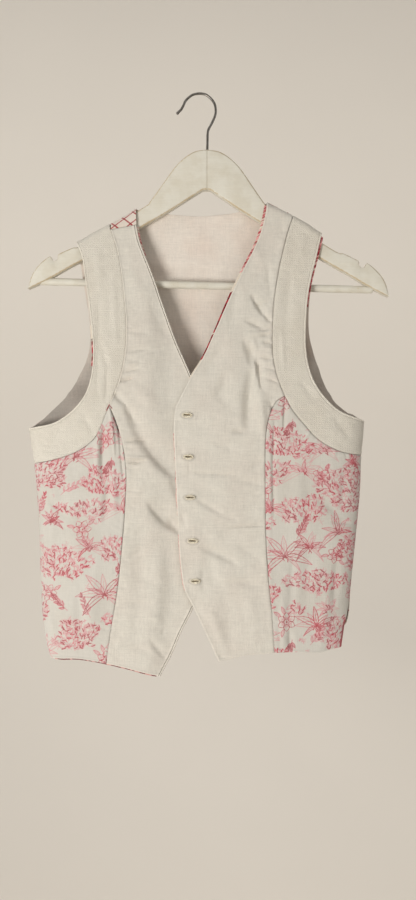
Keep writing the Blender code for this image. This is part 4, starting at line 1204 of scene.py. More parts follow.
def make_buttons():
    """Four-hole buttons with a rim, each sewn to the under front."""
    rings, turns = 34, 96
    for number, (bx, bz) in enumerate(BUTTONS, 1):
        depth = float(front(np.array(float(bx)), np.array(float(bz)))) + FRONT_WALL + 0.3
        radius = BUTTON_ACROSS / 2
        r = np.concatenate([np.linspace(0.0, radius - 0.6, rings)[1:], radius - np.array([0.4, 0.2, 0.06, 0.0])])
        a = np.linspace(0, 2 * math.pi, turns, endpoint=False)
        rr, aa = np.meshgrid(r, a, indexing="ij")
        x, z = rr * np.cos(aa), rr * np.sin(aa)
        face = np.interp(rr, [0, 4.6, 5.6, 6.6, 8.4, 8.8, 9.0], [0.75, 0.7, 0.35, 0.08, 0.0, 0.18, 0.75])
        for hx, hz in ((1.35, 1.35), (-1.35, 1.35), (1.35, -1.35), (-1.35, -1.35)):
            d = np.hypot(x - hx, z - hz)
            face = face + 1.3 * (1 - np.clip((d - 0.62) / 0.3, 0, 1))
        rear = np.interp(rr, [0, 7.5, 8.6, 9.0], [BUTTON_THICK - 0.15, BUTTON_THICK, BUTTON_THICK - 0.35,
                                                  BUTTON_THICK - 1.0])
        n = len(r)
        fronts = np.stack([bx + x, depth + face, bz + z], -1).reshape(-1, 3)
        backs = np.stack([bx + x, depth + rear, bz + z], -1).reshape(-1, 3)
        centre = np.array([[bx, depth + 0.75, bz], [bx, depth + BUTTON_THICK - 0.15, bz]])
        verts = np.vstack([fronts, backs, centre])
        k, t = np.arange(n - 1)[:, None], np.arange(turns)[None, :]
        a0 = k * turns + t
        b0 = k * turns + (t + 1) % turns
        quads = np.stack([a0, b0, b0 + turns, a0 + turns], -1).reshape(-1, 4)
        rear_quads = quads[:, ::-1] + n * turns
        t = np.arange(turns)
        last = (n - 1) * turns
        rim = np.stack([last + t, last + (t + 1) % turns, last + (t + 1) % turns + n * turns, last + t + n * turns], 1)
        c0, c1 = 2 * n * turns, 2 * n * turns + 1
        tri = np.stack([np.full(turns, c0), (t + 1) % turns, t], 1)
        tri_rear = np.stack([np.full(turns, c1), t + n * turns, (t + 1) % turns + n * turns], 1)
        mesh = bpy.data.meshes.new(f"horn_button_{number}")
        fill_mesh(mesh, verts, [(f[:, ::-1], 0) for f in (quads, rear_quads, rim, tri, tri_rear)])
        sewing = Bundle()
        for dz in (-1.35, 1.35):
            for off in (-0.22, 0.22):
                sewing.add([(bx - 1.35, depth + 1.6, bz + dz + off), (bx - 1.2, depth + 0.45, bz + dz + off),
                            (bx, depth + 0.2, bz + dz + off), (bx + 1.2, depth + 0.45, bz + dz + off),
                            (bx + 1.35, depth + 1.6, bz + dz + off)], 0.2, 6)
        obj = finish_mesh(f"horn_button_{number}", mesh, [horn])
        place_piece(obj, f"button_{number}")
        knot = sewing.mesh(f"button_thread_{number}", cream_thread)
        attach(knot, "root")


# ---------------------------------------------------------------- the print
class Ink:
    """A tile of drawn strokes that repeats both ways. Sizes are in millimetres."""

    def __init__(self, wide, high, pixel=0.25):
        self.wide, self.high, self.pixel = wide, high, pixel
        self.table = np.zeros((round(high / pixel), round(wide / pixel)))

    def stroke(self, points, width=0.8, dark=1.0, thin_ends=True):
        points = np.asarray(points, float)
        n = len(points) - 1
        for k in range(n):
            p, q = points[k], points[k + 1]
            t = (k + 0.5) / n
            w = width * (0.45 + 0.55 * math.sin(math.pi * (0.12 + 0.76 * t))) if thin_ends else width
            low = np.floor((np.minimum(p, q) - w) / self.pixel).astype(int)
            high = np.ceil((np.maximum(p, q) + w) / self.pixel).astype(int)
            ix, iy = np.arange(low[0], high[0] + 1), np.arange(low[1], high[1] + 1)
            gx, gy = np.meshgrid(ix * self.pixel, iy * self.pixel)
            d = q - p
            s = np.clip(((gx - p[0]) * d[0] + (gy - p[1]) * d[1]) / max(d @ d, 1e-9), 0, 1)
            off = np.hypot(gx - p[0] - s * d[0], gy - p[1] - s * d[1])
            value = dark * np.clip((w / 2 - off) / (self.pixel * 1.6) + 0.5, 0, 1)
            spot = np.ix_(iy % self.table.shape[0], ix % self.table.shape[1])
            self.table[spot] = np.maximum(self.table[spot], value)

    def at(self, u, v):
        gx, gy = u / self.pixel, v / self.pixel
        i, j = np.floor(gx).astype(int), np.floor(gy).astype(int)
        f, g = gx - i, gy - j
        ny, nx = self.table.shape

        def get(a, b):
            return self.table[(j + b) % ny, (i + a) % nx]
        return (get(0, 0) * (1 - f) + get(1, 0) * f) * (1 - g) + (get(0, 1) * (1 - f) + get(1, 1) * f) * g

    def bare(self, at, reach):
        """Whether nothing is drawn within reach of a point."""
        steps = np.linspace(-reach, reach, 15)
        across, up = np.meshgrid(at[0] + steps, at[1] + steps)
        return self.at(across, up).max() < 0.1


def turned(points, at, angle):
    c, s = math.cos(angle), math.sin(angle)
    p = np.asarray(points, float)
    return np.stack([at[0] + p[:, 0] * c - p[:, 1] * s, at[1] + p[:, 0] * s + p[:, 1] * c], 1)


def draw_leaf(ink, rng, at, angle, length, fat=0.2, dark=1.0, bend=0.0, hatch=4):
    t = np.linspace(0, 1, 9)
    spine = np.stack([t * length, bend * length * t * t], 1)
    half = fat * length * np.sin(math.pi * t ** 0.85) ** 0.9
    for side in (-1, 1):
        ink.stroke(turned(spine + np.stack([np.zeros(9), side * half], 1), at, angle), 0.95, dark)
    ink.stroke(turned(spine[:8], at, angle), 0.75, dark * 0.9)
    for k in range(hatch):
        s = 0.22 + 0.6 * (k + rng.uniform(0, 0.5)) / max(hatch, 1)
        x0, y0 = s * length, bend * length * s * s
        h = fat * length * math.sin(math.pi * s ** 0.85) * 0.82
        ink.stroke(turned([(x0, y0), (x0 + 0.1 * length, y0 - h)], at, angle), 0.55, dark * 0.75)


def draw_spray(ink, rng, at, angle, length, leaves=9, size=9.0, bend=0.3, dark=1.0, fat=0.2):
    t = np.linspace(0, 1, 14)
    spine = np.stack([t * length, bend * length * t * t], 1)
    ink.stroke(turned(spine, at, angle), 0.85, dark)
    for k in range(leaves):
        s = 0.18 + 0.78 * k / (leaves - 1)
        side = -1 if k % 2 else 1
        p = turned([(s * length, bend * length * s * s)], at, angle)[0]
        slope = math.atan(2 * bend * s)
        long = size * (1.08 - 0.45 * s) * rng.uniform(0.85, 1.15)
        draw_leaf(ink, rng, p, angle + slope + side * rng.uniform(0.6, 0.95), long, fat, dark * rng.uniform(0.75, 1),
                  -side * 0.12, 3)
    end = turned([(length, bend * length)], at, angle)[0]
    draw_leaf(ink, rng, end, angle + math.atan(2 * bend), size * 0.7, fat, dark, 0, 3)


def draw_blossom(ink, rng, at, radius, petals=6, dark=1.0):
    spin = rng.uniform(0, 2 * math.pi)
    for k in range(petals):
        a = spin + 2 * math.pi * k / petals
        t = np.linspace(0, 1, 8)
        along = radius * (0.22 + 0.8 * t)
        half = radius * 0.33 * np.sin(math.pi * t ** 0.7) ** 0.8
        for side in (-1, 1):
            ink.stroke(turned(np.stack([along, side * half], 1), at, a), 0.75, dark)
        for off in (-0.12, 0.0, 0.12):
            ink.stroke(turned([(radius * 0.25, off * radius * 0.5), (radius * rng.uniform(0.55, 0.75), off * radius)],
                              at, a), 0.5, dark * 0.8)
    for k in range(7):
        a, r = rng.uniform(0, 6.28), radius * 0.16 * rng.uniform(0, 1)
        p = np.array(at) + r * np.array([math.cos(a), math.sin(a)])
        ink.stroke([p, p + 0.25], 1.0, dark, False)


def draw_stipple(ink, rng, at, spread, count, dark=0.7):
    for k in range(count):
        p = np.array(at) + rng.normal(0, 1, 2) * spread
        ink.stroke([p, p + (rng.uniform(0.6, 1.8), rng.uniform(-0.3, 0.3))], 0.6, dark * rng.uniform(0.5, 1), False)


def draw_blade(ink, rng, at, angle, long, width, dark):
    """One short curved stroke."""
    t = np.array([-0.5, 0.0, 0.5])
    path = np.stack([long * t, rng.uniform(-0.35, 0.35) * long * (0.25 - t * t) * 2], 1)
    ink.stroke(turned(path, at, angle), width, dark)


def draw_star(ink, rng, at, size, dark, leaves=7):
    """Short narrow leaves round one point."""
    spin = rng.uniform(0, 2 * math.pi)
    for k in range(leaves):
        a = spin + 2 * math.pi * (k + rng.uniform(0.2, 0.8)) / leaves
        long = size * rng.uniform(0.6, 1.1)
        t = np.array([0.22, 0.6, 1.0])
        path = np.stack([long * t, rng.uniform(-0.2, 0.2) * long * t * t], 1)
        ink.stroke(turned(path, at, a), rng.uniform(0.85, 1.2), dark * rng.uniform(0.55, 1))


def draw_crown(ink, rng, at, wide, high, gap=4.8):
    """A crown of foliage: pale strokes that fan out from its foot, with dark ones over them, in an uneven cloud."""
    lobes = rng.uniform(0.7, 1.4, 11)
    foot = (rng.uniform(-0.25, 0.25) * wide, -0.5 * high)
    rows, columns = int(high / gap) + 1, int(wide / gap) + 1
    for i in range(-rows, rows + 1):
        for j in range(-columns, columns + 1):
            p = np.array([(j + 0.5 * (i % 2)) * gap, i * gap * 0.86]) + rng.uniform(-1.7, 1.7, 2)
            turn = (math.atan2(p[1] / high, p[0] / wide) + math.pi) / (2 * math.pi) * 11
            edge = np.interp(turn, range(12), [*lobes, lobes[0]])
            strong = rng.uniform() < 0.6
            if 2 * math.hypot(p[0] / wide, p[1] / high) > edge:
                continue
            away = math.atan2(p[1] - foot[1], p[0] - foot[0])
            for _ in range(4):
                draw_blade(ink, rng, p + at + rng.uniform(-1.8, 1.8, 2), away + rng.normal(0, 0.9), rng.uniform(3.2, 6.0),
                           rng.uniform(0.75, 1.0), rng.uniform(0.38, 0.66))
            if strong:
                draw_blade(ink, rng, p + at, away + rng.normal(0, 0.6), rng.uniform(3.2, 5.6), rng.uniform(1.0, 1.35),
                           rng.uniform(0.8, 1.0))


def draw_plant(ink, rng, at, size, dark=0.8):
    """Long open leaves from one root, the outer ones bending over."""
    for k in range(9):
        a = math.pi / 2 + (k - 4) * 0.42 + rng.uniform(-0.14, 0.14)
        draw_leaf(ink, rng, at, a, size * rng.uniform(0.6, 1.1), rng.uniform(0.1, 0.15), dark * rng.uniform(0.5, 1),
                  0.35 * (a - math.pi / 2), 2)
    for _ in range(7):
        draw_blade(ink, rng, at + rng.uniform(-5, 5, 2), rng.uniform(0.4, 2.7), 4.0, 1.1, rng.uniform(0.7, 1))


# The repeat, in millimetres: kind, place across and up, and size.
PLAN = (("crown", 32, 38, 46), ("crown", 106, 22, 40), ("crown", 176, 54, 48), ("crown", 70, 102, 38),
        ("crown", 140, 120, 46), ("crown", 12, 130, 38), ("crown", 196, 152, 40), ("crown", 52, 184, 48),
        ("crown", 122, 204, 40), ("crown", 180, 228, 48), ("crown", 90, 250, 30),
        ("plant", 70, 50, 24), ("plant", 142, 66, 23), ("plant", 30, 78, 21), ("plant", 104, 148, 25),
        ("plant", 168, 176, 23), ("plant", 8, 208, 22), ("plant", 150, 12, 18), ("plant", 86, 204, 17),
        ("bloom", 4, 72, 9), ("bloom", 106, 72, 10), ("bloom", 188, 104, 9), ("bloom", 36, 150, 10),
        ("bloom", 164, 150, 9), ("bloom", 78, 226, 10), ("bloom", 146, 244, 9), ("bloom", 205, 194, 9),
        ("vine", 52, 6, 30), ("vine", 88, 122, 26), ("vine", 204, 116, 26), ("vine", 20, 240, 28),
        ("vine", 118, 170, 26), ("vine", 60, 130, 24), ("vine", 134, 44, 24))


def draw_tile():
    """A garden repeat in one colour: leafy crowns, open leaves, blossoms and trailing stems, with bare ground between."""
    rng = np.random.default_rng(23)
    ink = Ink(210.0, 260.0)
    for kind, x, y, size in PLAN:
        at = np.array([x, y], float)
        if kind == "crown":
            draw_crown(ink, rng, at, size * 1.4, size * rng.uniform(0.75, 0.95))
        elif kind == "plant":
            draw_plant(ink, rng, at, size * 1.2, rng.uniform(0.75, 1))
            draw_stipple(ink, rng, at, (5, 1.2), 12)
        elif kind == "bloom":
            draw_blossom(ink, rng, at, size * 1.1, 6, rng.uniform(0.8, 1))
            for a in rng.uniform(0, 6.28, 3):
                draw_leaf(ink, rng, at + size * 0.9 * np.array([math.cos(a), math.sin(a)]), a, size, 0.17, 0.7, 0.1, 3)
        else:
            draw_spray(ink, rng, at, rng.uniform(0.3, 2.8), size, 9, 8.5, rng.uniform(-0.4, 0.4), rng.uniform(0.6, 0.9), 0.16)
    for k in range(420):
        at = rng.uniform(0, 1, 2) * (210, 260)
        size, angle = rng.uniform(15, 24), rng.uniform(0, 6.28)
        if not ink.bare(at, 7.0):
            continue
        if k % 3 == 0:
            draw_crown(ink, rng, at, size * 1.3, size * 0.8)
        elif k % 3 == 1:
            draw_plant(ink, rng, at - (0, 4), size, rng.uniform(0.7, 1))
        else:
            draw_spray(ink, rng, at, angle, size * 0.8, 9, 8.0, rng.uniform(-0.4, 0.4), rng.uniform(0.6, 0.95), 0.16)
    for _ in range(60):
        draw_star(ink, rng, rng.uniform(0, 1, 2) * (210, 260), rng.uniform(2.2, 4.0), rng.uniform(0.35, 0.8), 5)
    return ink


tile = draw_tile()


# ---------------------------------------------------------------- the printed side fronts
def make_print(name, node, top, bottom, left, right, relief, edges, head, tail, inner, shift):
    v = rows_of([(1.0, (left.length + right.length) / 2, SEAM, FREE, 0.74)], 4)
    u = columns_of(left, right, v, head, tail, 0.74, 4)
    flat = patch(top, bottom, left, right, u, v[:, None])
    shell = Shell(flat, front, -1, relief, edges)
    cloth = shell.cloth_map(inner)
    ink = tile.at(cloth[..., 0] + shift[0], cloth[..., 1] + shift[1])
    if inner == "left":
        # The red selvedge shows at the foot of the side seam.
        foot = np.clip((-flat[:, -1, 1] - 624) / 5, 0, 1)
        ink[:, -7:] = np.maximum(ink[:, -7:], foot[:, None] * 0.95)
    obj = shell_mesh(name, shell, FRONT_WALL, [print_cloth, inner_linen], cloth, 4, [("print", ink)])
    place_piece(obj, node)


def make_side_fronts():
    make_print("side_front_right_cloth", "side_front_right", Line(BAND_FOOT_RIGHT).turned(), Line(HEM_RIGHT[:5]),
               Line(SIDE_RIGHT[2:]), princess_r, relief_print_right,
               [(None, 0), (seam_edge, CUT), (seam_edge, CUT), (free_edge, 0)], TURN, SEAM, "right",
               (215.0, 745.0))
    make_print("side_front_left_cloth", "side_front_left", Line(BAND_FOOT_LEFT), Line(HEM_LEFT[3:]),
               princess_l, Line(SIDE_LEFT[2:]), relief_print_left,
               [(seam_edge, CUT), (None, 0), (seam_edge, CUT), (free_edge, 0)], SEAM, TURN, "left",
               (3.0, 700.0))


# ---------------------------------------------------------------- the armhole bands
def make_bands():
    shares = (0.62, 0.38)
    seam = joined([Line([(-106.8, -155.5), (-106.2, -159.0), (-105, -164)] + list(BAND_RIGHT[1:])),
                   Line(BAND_FOOT_RIGHT)], (0.68, 0.32))
    v = rows_of([(1.0, 300, OVER, TURN, 1.4)], 2)
    top, bottom = Line([(-147, -177.5), (-127, -166), (-106.8, -155.5)]), Line(SIDE_RIGHT[:3])
    left, right = Line(ARM_RIGHT_FRONT), seam
    u = columns_of(left, right, v, ROLL, SEAM, 1.4, 2)
    flat = patch(top, bottom, left, right, u, v[:, None])
    shell = Shell(flat, front, -1, relief_bands, [(soft_roll_edge, 0), (low_edge, CUT), (None, 0), (None, 0)])
    obj = shell_mesh("armhole_band_right_cloth", shell, FRONT_WALL, [huckaback, inner_linen],
                     shell.cloth_map("right"), 2)
    place_piece(obj, "armhole_band_right")

    seam = joined([band_l, Line(BAND_FOOT_LEFT)], (0.68, 0.32))
    top, bottom = Line([(113, -145.5), (131, -155.5), (147, -166.5)]), Line(SIDE_LEFT[:3]).turned()
    left, right = seam, Line(ARM_LEFT_FRONT)
    u = columns_of(left, right, v, SEAM, ROLL, 1.4, 2)
    flat = patch(top, bottom, left, right, u, v[:, None])
    shell = Shell(flat, front, -1, relief_bands, [(seam_edge, CUT), (soft_roll_edge, 0), (None, 0), (None, 0)])
    obj = shell_mesh("armhole_band_left_cloth", shell, FRONT_WALL, [huckaback, inner_linen],
                     shell.cloth_map("left"), 2)
    place_piece(obj, "armhole_band_left")


# ---------------------------------------------------------------- the back and its lining
CENTRE_BACK = 3.0
CHECK_TURN = math.radians(20)       # the check climbs towards the centre back seam on both halves


def check_of(x, z):
    """The check's two coordinates on the back's face."""
    d = np.abs(x - CENTRE_BACK)
    c, s = math.cos(CHECK_TURN), math.sin(CHECK_TURN)
    return np.stack([-d * s - z * c, -d * c + z * s], -1)


def back_lines():
    lines = [Line([(-147, -177.5), (-127, -166), (-105, -154.4)]), Line([(-105, -154.4), (-91, -147), (-75.5, -136.5)]),
             Line(BACK_NECK), Line([(82, -129), (97, -137), (114, -146), (131, -155.5), (147, -166.5)])]
    total = sum(l.length for l in lines)
    shares = [l.length / total for l in lines]
    top = joined(lines, shares)
    t = np.linspace(0, 1, 600)
    x = by_z(SIDE_R, -640) + (by_z(SIDE_L, -636) - by_z(SIDE_R, -640)) * t
    bottom = Line(points=np.stack([x, -640 + 4 * t + BACK_HEM_RISE * np.sin(math.pi * t)], 1))
    left = joined([Line(ARM_RIGHT_BACK), Line(SIDE_RIGHT_BACK)], (0.5, 0.5))
    right = joined([Line(ARM_LEFT_BACK), Line(SIDE_LEFT_BACK)], (0.5, 0.5))
    return top, bottom, left, right, shares, [l.length for l in lines]


def back_columns(shares, lengths, step, near=True):
    plain = (0, step)
    close = (0, 0.4, 0.9, 1.6, 2.6) if near else plain
    turn = TURN if near else plain
    run = [(shares[0], lengths[0], turn, plain, step), (shares[1], lengths[1], plain, close, step),
           (shares[2], lengths[2], close, close, step), (shares[3], lengths[3], close, turn, step)]
    u = rows_of(run)
    return u, [len(rows_of(run[:k])) - 1 for k in (1, 2, 3)]


def centre_seam(x, z):
    """The seam down the middle of the back."""
    d = np.abs(x - CENTRE_BACK)
    return -0.8 * np.exp(-(d / 0.8) ** 2) + 0.3 * np.exp(-((d - 4.2) / 2.4) ** 2)


def make_back():
    top, bottom, left, right, shares, lengths = back_lines()
    u, marks = back_columns(shares, lengths, 2.3)
    v = rows_of([(0.5, 235, OVER, HEAD, 2.4), (0.5, 240, HEAD, FREE, 2.4)])
    flat = patch(top, bottom, left, right, u[None, :], v[:, None])
    shell = Shell(flat, back, 1, relief_back, [(free_edge, 0), (free_edge, 0), (None, 0), (free_edge, 0)],
                  extra=centre_seam)
    cloth = shell.cloth_map("middle")
    # The strip beside the right neck that comes forward over the shoulder, down to the front's seam.
    first, last = marks[0], marks[1]
    ridge = shell.outer[0, first:last + 1]
    count = last - first + 1
    part = np.linspace(0, 1, count)[:, None]
    foot = np.array([[-105.0, -164.0]]) * (1 - part) + np.array([[-74.5, -158.0]]) * part + (0, SEAM_GAP * 0.8)
    levels = np.array([0.006, 0.02, 0.05, 0.1, 0.17, 0.26, 0.37, 0.5, 0.63, 0.76, 0.87, 0.94, 0.975, 1.0])
    points, normals, clothes, checks = [], [], [], []
    A = math.radians(38)
    h = 0.02
    for level in levels:
        x = ridge[:, 0] * (1 - level) + foot[:, 0] * level
        z = ridge[:, 2] * (1 - level) + foot[:, 1] * level
        x = x + np.where(np.arange(count) == 0, 0.25, 0)
        y = np.minimum(front(x, z), -0.08)
        zz = np.minimum(z, ridge_at(x) - 0.06)
        n = unit(np.stack([(front(x + h, zz) - front(x - h, zz)) / (2 * h), -np.ones(count),
                           (front(x, zz + h) - front(x, zz - h)) / (2 * h)], -1))
        away = np.hypot(x - foot[:, 0], z - foot[:, 1])
        n_in = 0.6 * np.exp(-(away / 0.8) ** 2)
        points.append(np.stack([x, y, z], -1) - n * n_in[:, None])
        normals.append(n)
        clothes.append(np.stack([x, z + 60], -1))
        # the strip's lines: nearly along the ridge, and across it
        along = ((x + 105.6) * -math.sin(A) + (z + 163.8) * math.cos(A)) * 14 / 9.6
        over = ((x + 104.7) * math.sin(A) + (z + 155.7) * math.cos(A)) * 14 / 13.2
        checks.append(np.stack([along, over], -1))
    rows, cols = len(levels), count
    start = shell.x.size
    index = np.vstack([np.arange(first, last + 1), start + np.arange(rows * cols).reshape(rows, cols)])
    a, b, c, d = index[:-1, :-1], index[:-1, 1:], index[1:, 1:], index[1:, :-1]
    faces = np.stack([d, c, b, a], -1).reshape(-1, 4)
    check = check_of(cloth[..., 0], cloth[..., 1])
    # the first row of the strip keeps its own lines, so the change falls on the ridge itself
    obj = shell_mesh("back_cloth", shell, BACK_WALL, [check_cloth, inner_linen], cloth, 1, check=check,
                     more={"points": np.vstack(points), "normals": np.vstack(normals), "cloth": np.vstack(clothes),
                           "check": np.vstack(checks), "faces": faces})
    place_piece(obj, "back")


def make_lining():
    top, bottom, left, right, shares, lengths = back_lines()
    u, marks = back_columns(shares, lengths, 3.0)
    if (len(u) - 1) % 2:
        u = np.sort(np.append(u, (u[marks[1] + 8] + u[marks[1] + 9]) / 2))
    v = rows_of([(0.5, 235, OVER, HEAD, 3.0), (0.5, 240, HEAD, FREE, 3.0)], 2)
    # Under each shoulder the lining starts below the seam; at the neck it starts just inside the edge.
    at = top(u)
    neck = np.clip(np.minimum(at[:, 0] + 77.5, 84.0 - at[:, 0]) / 10, 0, 1)
    neck = neck * neck * (3 - 2 * neck)
    start = (7.5 * (1 - neck) + 0.9 * neck) / 470
    vv = v[:, None] * (1 - start[None, :]) + start[None, :]
    flat = patch(top, bottom, left, right, np.broadcast_to(u[None, :], vv.shape), vv)
    shell = Shell(flat, back, 1, relief_back, [(None, 0)] * 4, set_in=BACK_WALL + SEAM_GAP * 4)
    # painted shade low in each armhole, down to the underarm, deeper on the wearer's right
    near = np.minimum(np.abs(shell.x - by_z(ARM_R, shell.z)), np.abs(shell.x - by_z(ARM_L, shell.z)))
    wear_and_shade = np.clip((-285 - shell.z) / 70, 0, 1) * np.clip((shell.z + 425) / 25, 0, 1)
    shell.tone = shell.tone - np.where(shell.x < 0, 0.42, 0.15) * wear_and_shade * np.exp(-(near / 34) ** 2)
    obj = shell_mesh("back_lining_cloth", shell, LINING_WALL, [inner_linen, lining_cloth],
                     shell.cloth_map("middle"), 2)
    place_piece(obj, "back_lining")


# ---------------------------------------------------------------- facings
CREAM_DYE = np.array(linear(218, 206, 188))
PINK_DYE = np.array(linear(222, 160, 156))
RED_DYE = np.array(linear(172, 44, 56))
DEEP_DYE = np.array(linear(128, 14, 30))
BLACK_DYE = np.array(linear(44, 34, 34))


def dye_cells(length, rng, choose):
    """Colours along a strip, as (end, colour) runs. choose gives the next run's length and colour."""
    at, ends, colours = 0.0, [], []
    while at < length:
        run, colour = choose(at / length)
        at += run
        ends.append(at)
        colours.append(colour)
    return np.array(ends), np.array(colours)


def flecks(rng, dense=0.75):
    def choose(t):
        pick = rng.uniform()
        if pick > dense:
            return rng.uniform(0.5, 1.4), CREAM_DYE
        if pick < dense * 0.34:
            return rng.uniform(0.5, 1.3), RED_DYE
        if pick < dense * 0.6:
            return rng.uniform(0.4, 1.1), DEEP_DYE
        return rng.uniform(0.5, 1.3), PINK_DYE
    return choose


def neck_left_colours(rng):
    dense, turn = flecks(rng), [0]

    def choose(t):
        if t > 0.88:
            return 4.0, CREAM_DYE
        if t < 0.385:
            return dense(t)
        if t < 0.49:
            return rng.uniform(2, 5), CREAM_DYE
        turn[0] += 1
        kind = turn[0] % 4
        if kind == 1:
            return rng.uniform(6, 12), DEEP_DYE
        if kind == 2:
            return 1.5, BLACK_DYE
        if kind == 3:
            return rng.uniform(3, 9), RED_DYE if rng.uniform() < 0.8 else CREAM_DYE
        return rng.uniform(0.8, 2.4), CREAM_DYE if rng.uniform() < 0.6 else BLACK_DYE
    return choose


def dashes(rng):
    turn = [0]

    def choose(t):
        if t < 0.3:
            return 2.0, CREAM_DYE
        turn[0] += 1
        return ((rng.uniform(4, 8), RED_DYE), (1.3, CREAM_DYE), (1.3, BLACK_DYE), (1.0, CREAM_DYE),
                (rng.uniform(5, 9), DEEP_DYE), (rng.uniform(1, 3), PINK_DYE))[turn[0] % 6]
    return choose


def even_red(rng):
    return lambda t: (rng.uniform(1.0, 3.5), (PINK_DYE * 0.6 + CREAM_DYE * 0.4) if rng.uniform() < 0.6
                      else (RED_DYE * 0.5 + PINK_DYE * 0.5))


def dark_red(rng):
    return lambda t: (rng.uniform(1.0, 4.0), DEEP_DYE * 0.7 + BLACK_DYE * 0.3 if rng.uniform() < 0.6
                      else PINK_DYE * 0.5 + RED_DYE * 0.3 + CREAM_DYE * 0.2)


def make_facing(name, node, rows, steps, beyond, width, out_sign, surface, relief, colours, seed,
                extra=None):
    line = Line(rows)
    n = max(24, int(line.length * (steps[1] - steps[0]) / 0.8))
    t = np.linspace(*steps, n + 1 + (n % 2))
    p = line(t)
    ahead = unit(line(np.clip(t + 0.01, 0, 1)) - line(np.clip(t - 0.01, 0, 1)))
    side = np.stack([ahead[:, 1], -ahead[:, 0]], -1) * out_sign
    show = np.interp(t, steps, beyond)[:, None]
    across = [1.0, 0.86, 0.6, 0.2]
    columns = [p + side * show * k for k in across] + [p - side * width * k for k in (0.15, 0.4, 0.7, 1.0)]
    flat = np.stack(columns, 1)
    while (flat.shape[0] - 1) % 2:
        flat = flat[:-1]
    shell = Shell(flat, surface, -1, relief, [(free_edge, 0), (None, 0), (None, 0), (None, 0)],
                  set_in=FRONT_WALL + SEAM_GAP * 1.8, extra=extra)
    rng = np.random.default_rng(seed)
    run = shell.down[:, :1]
    ends, dyes = dye_cells(float(run.max()) + 1, rng, colours(rng))
    place = shell.down + 0.8 * shell.across * rng.choice([-1, 1])
    which = np.clip(np.searchsorted(ends, np.clip(place, 0, ends[-1] - 0.01)), 0, len(ends) - 1)
    cloth = np.stack([shell.across, shell.down], -1)
    obj = shell_mesh(name, shell, FACING_WALL, [facing_cloth, inner_linen], cloth, 1, [("dye", dyes[which])])
    place_piece(obj, node)


def make_facings():
    # The part's facings, a little wider where their colours show past the edge.
    make_facing("facing_neck_left_cloth", "facing_neck_left", NECK_LEFT, (0.02, 0.86), (3.0, 1.4), 5, 1, front,
                relief_left, neck_left_colours, 3)
    make_facing("facing_neck_right_cloth", "facing_neck_right", NECK_RIGHT, (0.01, 0.17), (2.2, 1.3), 5, -1,
                front_under, relief_right, flecks, 4)
    make_facing("facing_armhole_left_cloth", "facing_armhole_left", ARM_LEFT_FRONT, (0.015, 0.35), (3.0, 1.6), 6, -1,
                front, relief_bands, lambda rng: flecks(rng, 0.9), 5)
    make_facing("facing_armhole_right_cloth", "facing_armhole_right", ARM_RIGHT_FRONT, (0.38, 0.56), (1.9, 1.7), 6, 1,
                front, relief_bands, dashes, 6)
    make_facing("facing_edge_left_cloth", "facing_edge_left", EDGE_LEFT, (0.10, 0.70), (0.65, 0.55), 3.6, 1, front,
                relief_left, even_red, 7)
    make_facing("facing_hem_right_cloth", "facing_hem_right", HEM_RIGHT, (0.03, 0.97), (1.5, 1.6), 5, 1, front_under,
                relief_right, dark_red, 8)


def make_apex_stitches():
    """Two red stitches at the top of the wearer's right princess seam."""
    made = Bundle()
    for a, b in (((109.4, 404.6), (106.6, 410.6)), ((109.2, 404.4), (112.4, 409.0)), ((107.6, 408.6), (109.6, 407.4))):
        (x0, z0), (x1, z1) = seen(*a), seen(*b)
        path = []
        for t, lift in ((0, 0.5), (0.12, -0.35), (0.5, -0.55), (0.88, -0.35), (1, 0.5)):
            x, z = x0 + (x1 - x0) * t, z0 + (z1 - z0) * t
            y = float(front(np.array(x), np.array(z)) - relief_bands(np.array(x), np.array(z)))
            path.append((x, y + lift, z))
        made.add(path, 0.42, 7)
    # and the check's red where it turns over the wearer's left shoulder
    for a, b, radius in (((268.6, 203.4), (277.5, 207.7), 0.5), ((287.0, 213.0), (288.2, 213.8), 0.7)):
        (x0, z0), (x1, z1) = seen(*a, 0.0), seen(*b, 0.0)
        t = np.linspace(0, 1, 12)
        x = x0 + (x1 - x0) * t
        made.add(np.stack([x, np.full(12, -0.5), ridge_at(x) + 0.05], 1), radius, 7)
    obj = made.mesh("apex_stitches", red_thread)
    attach(obj, "root")


# ---------------------------------------------------------------- the hanger
HANG_TILT = math.radians(1.25)
ARM_RIGHT, ARM_LEFT = 0.977, 1.024
FOOT = (10.0, -67.0)
BOARD_THICK, BOARD_EDGE = 12.0, 2.4
BOARD_TOP = ((0, 0), (12.6, -1.7), (23, -6.8), (32.2, -14.3), (40.2, -23), (48.3, -34.4), (55.8, -45.3),
             (62, -54.2), (69.1, -63.8), (77, -71.0), (148, -115.8), (161.3, -120.5), (175.2, -126.6),
             (179.5, -129.5), (180.2, -134.5), (182.8, -137), (186, -136.6), (188.2, -132.6),
             (191, -132.4), (199.3, -138.7), (207.7, -148.2), (212.7, -158.6), (215.4, -170.8))
BOARD_UNDER = ((206.7, -167.4), (188.4, -158), (165.4, -144.6), (142.3, -131.8), (75.4, -92.8),
               (42.5, -73.2), (21.7, -59.7), (4, -48.2))
HOOK = ((-37.7, 42.9), (-35.2, 45.8), (-32, 49.4), (-29.6, 54.3), (-27.2, 59.4), (-22.1, 64.6), (-17.8, 67.1),
        (-12.4, 68.2), (-7.6, 68.2), (-3.0, 67.0), (2.2, 63.2), (6.0, 58.9), (8.2, 54.4), (9.1, 47.8),
        (8.6, 43.1), (7.2, 38.7), (5.1, 33.9), (2.8, 29.3), (0.8, 25.3), (0, 20.2), (0, 11), (0, -12))
BAR_LINE = ((-197, -161.2), (202, -162.6))


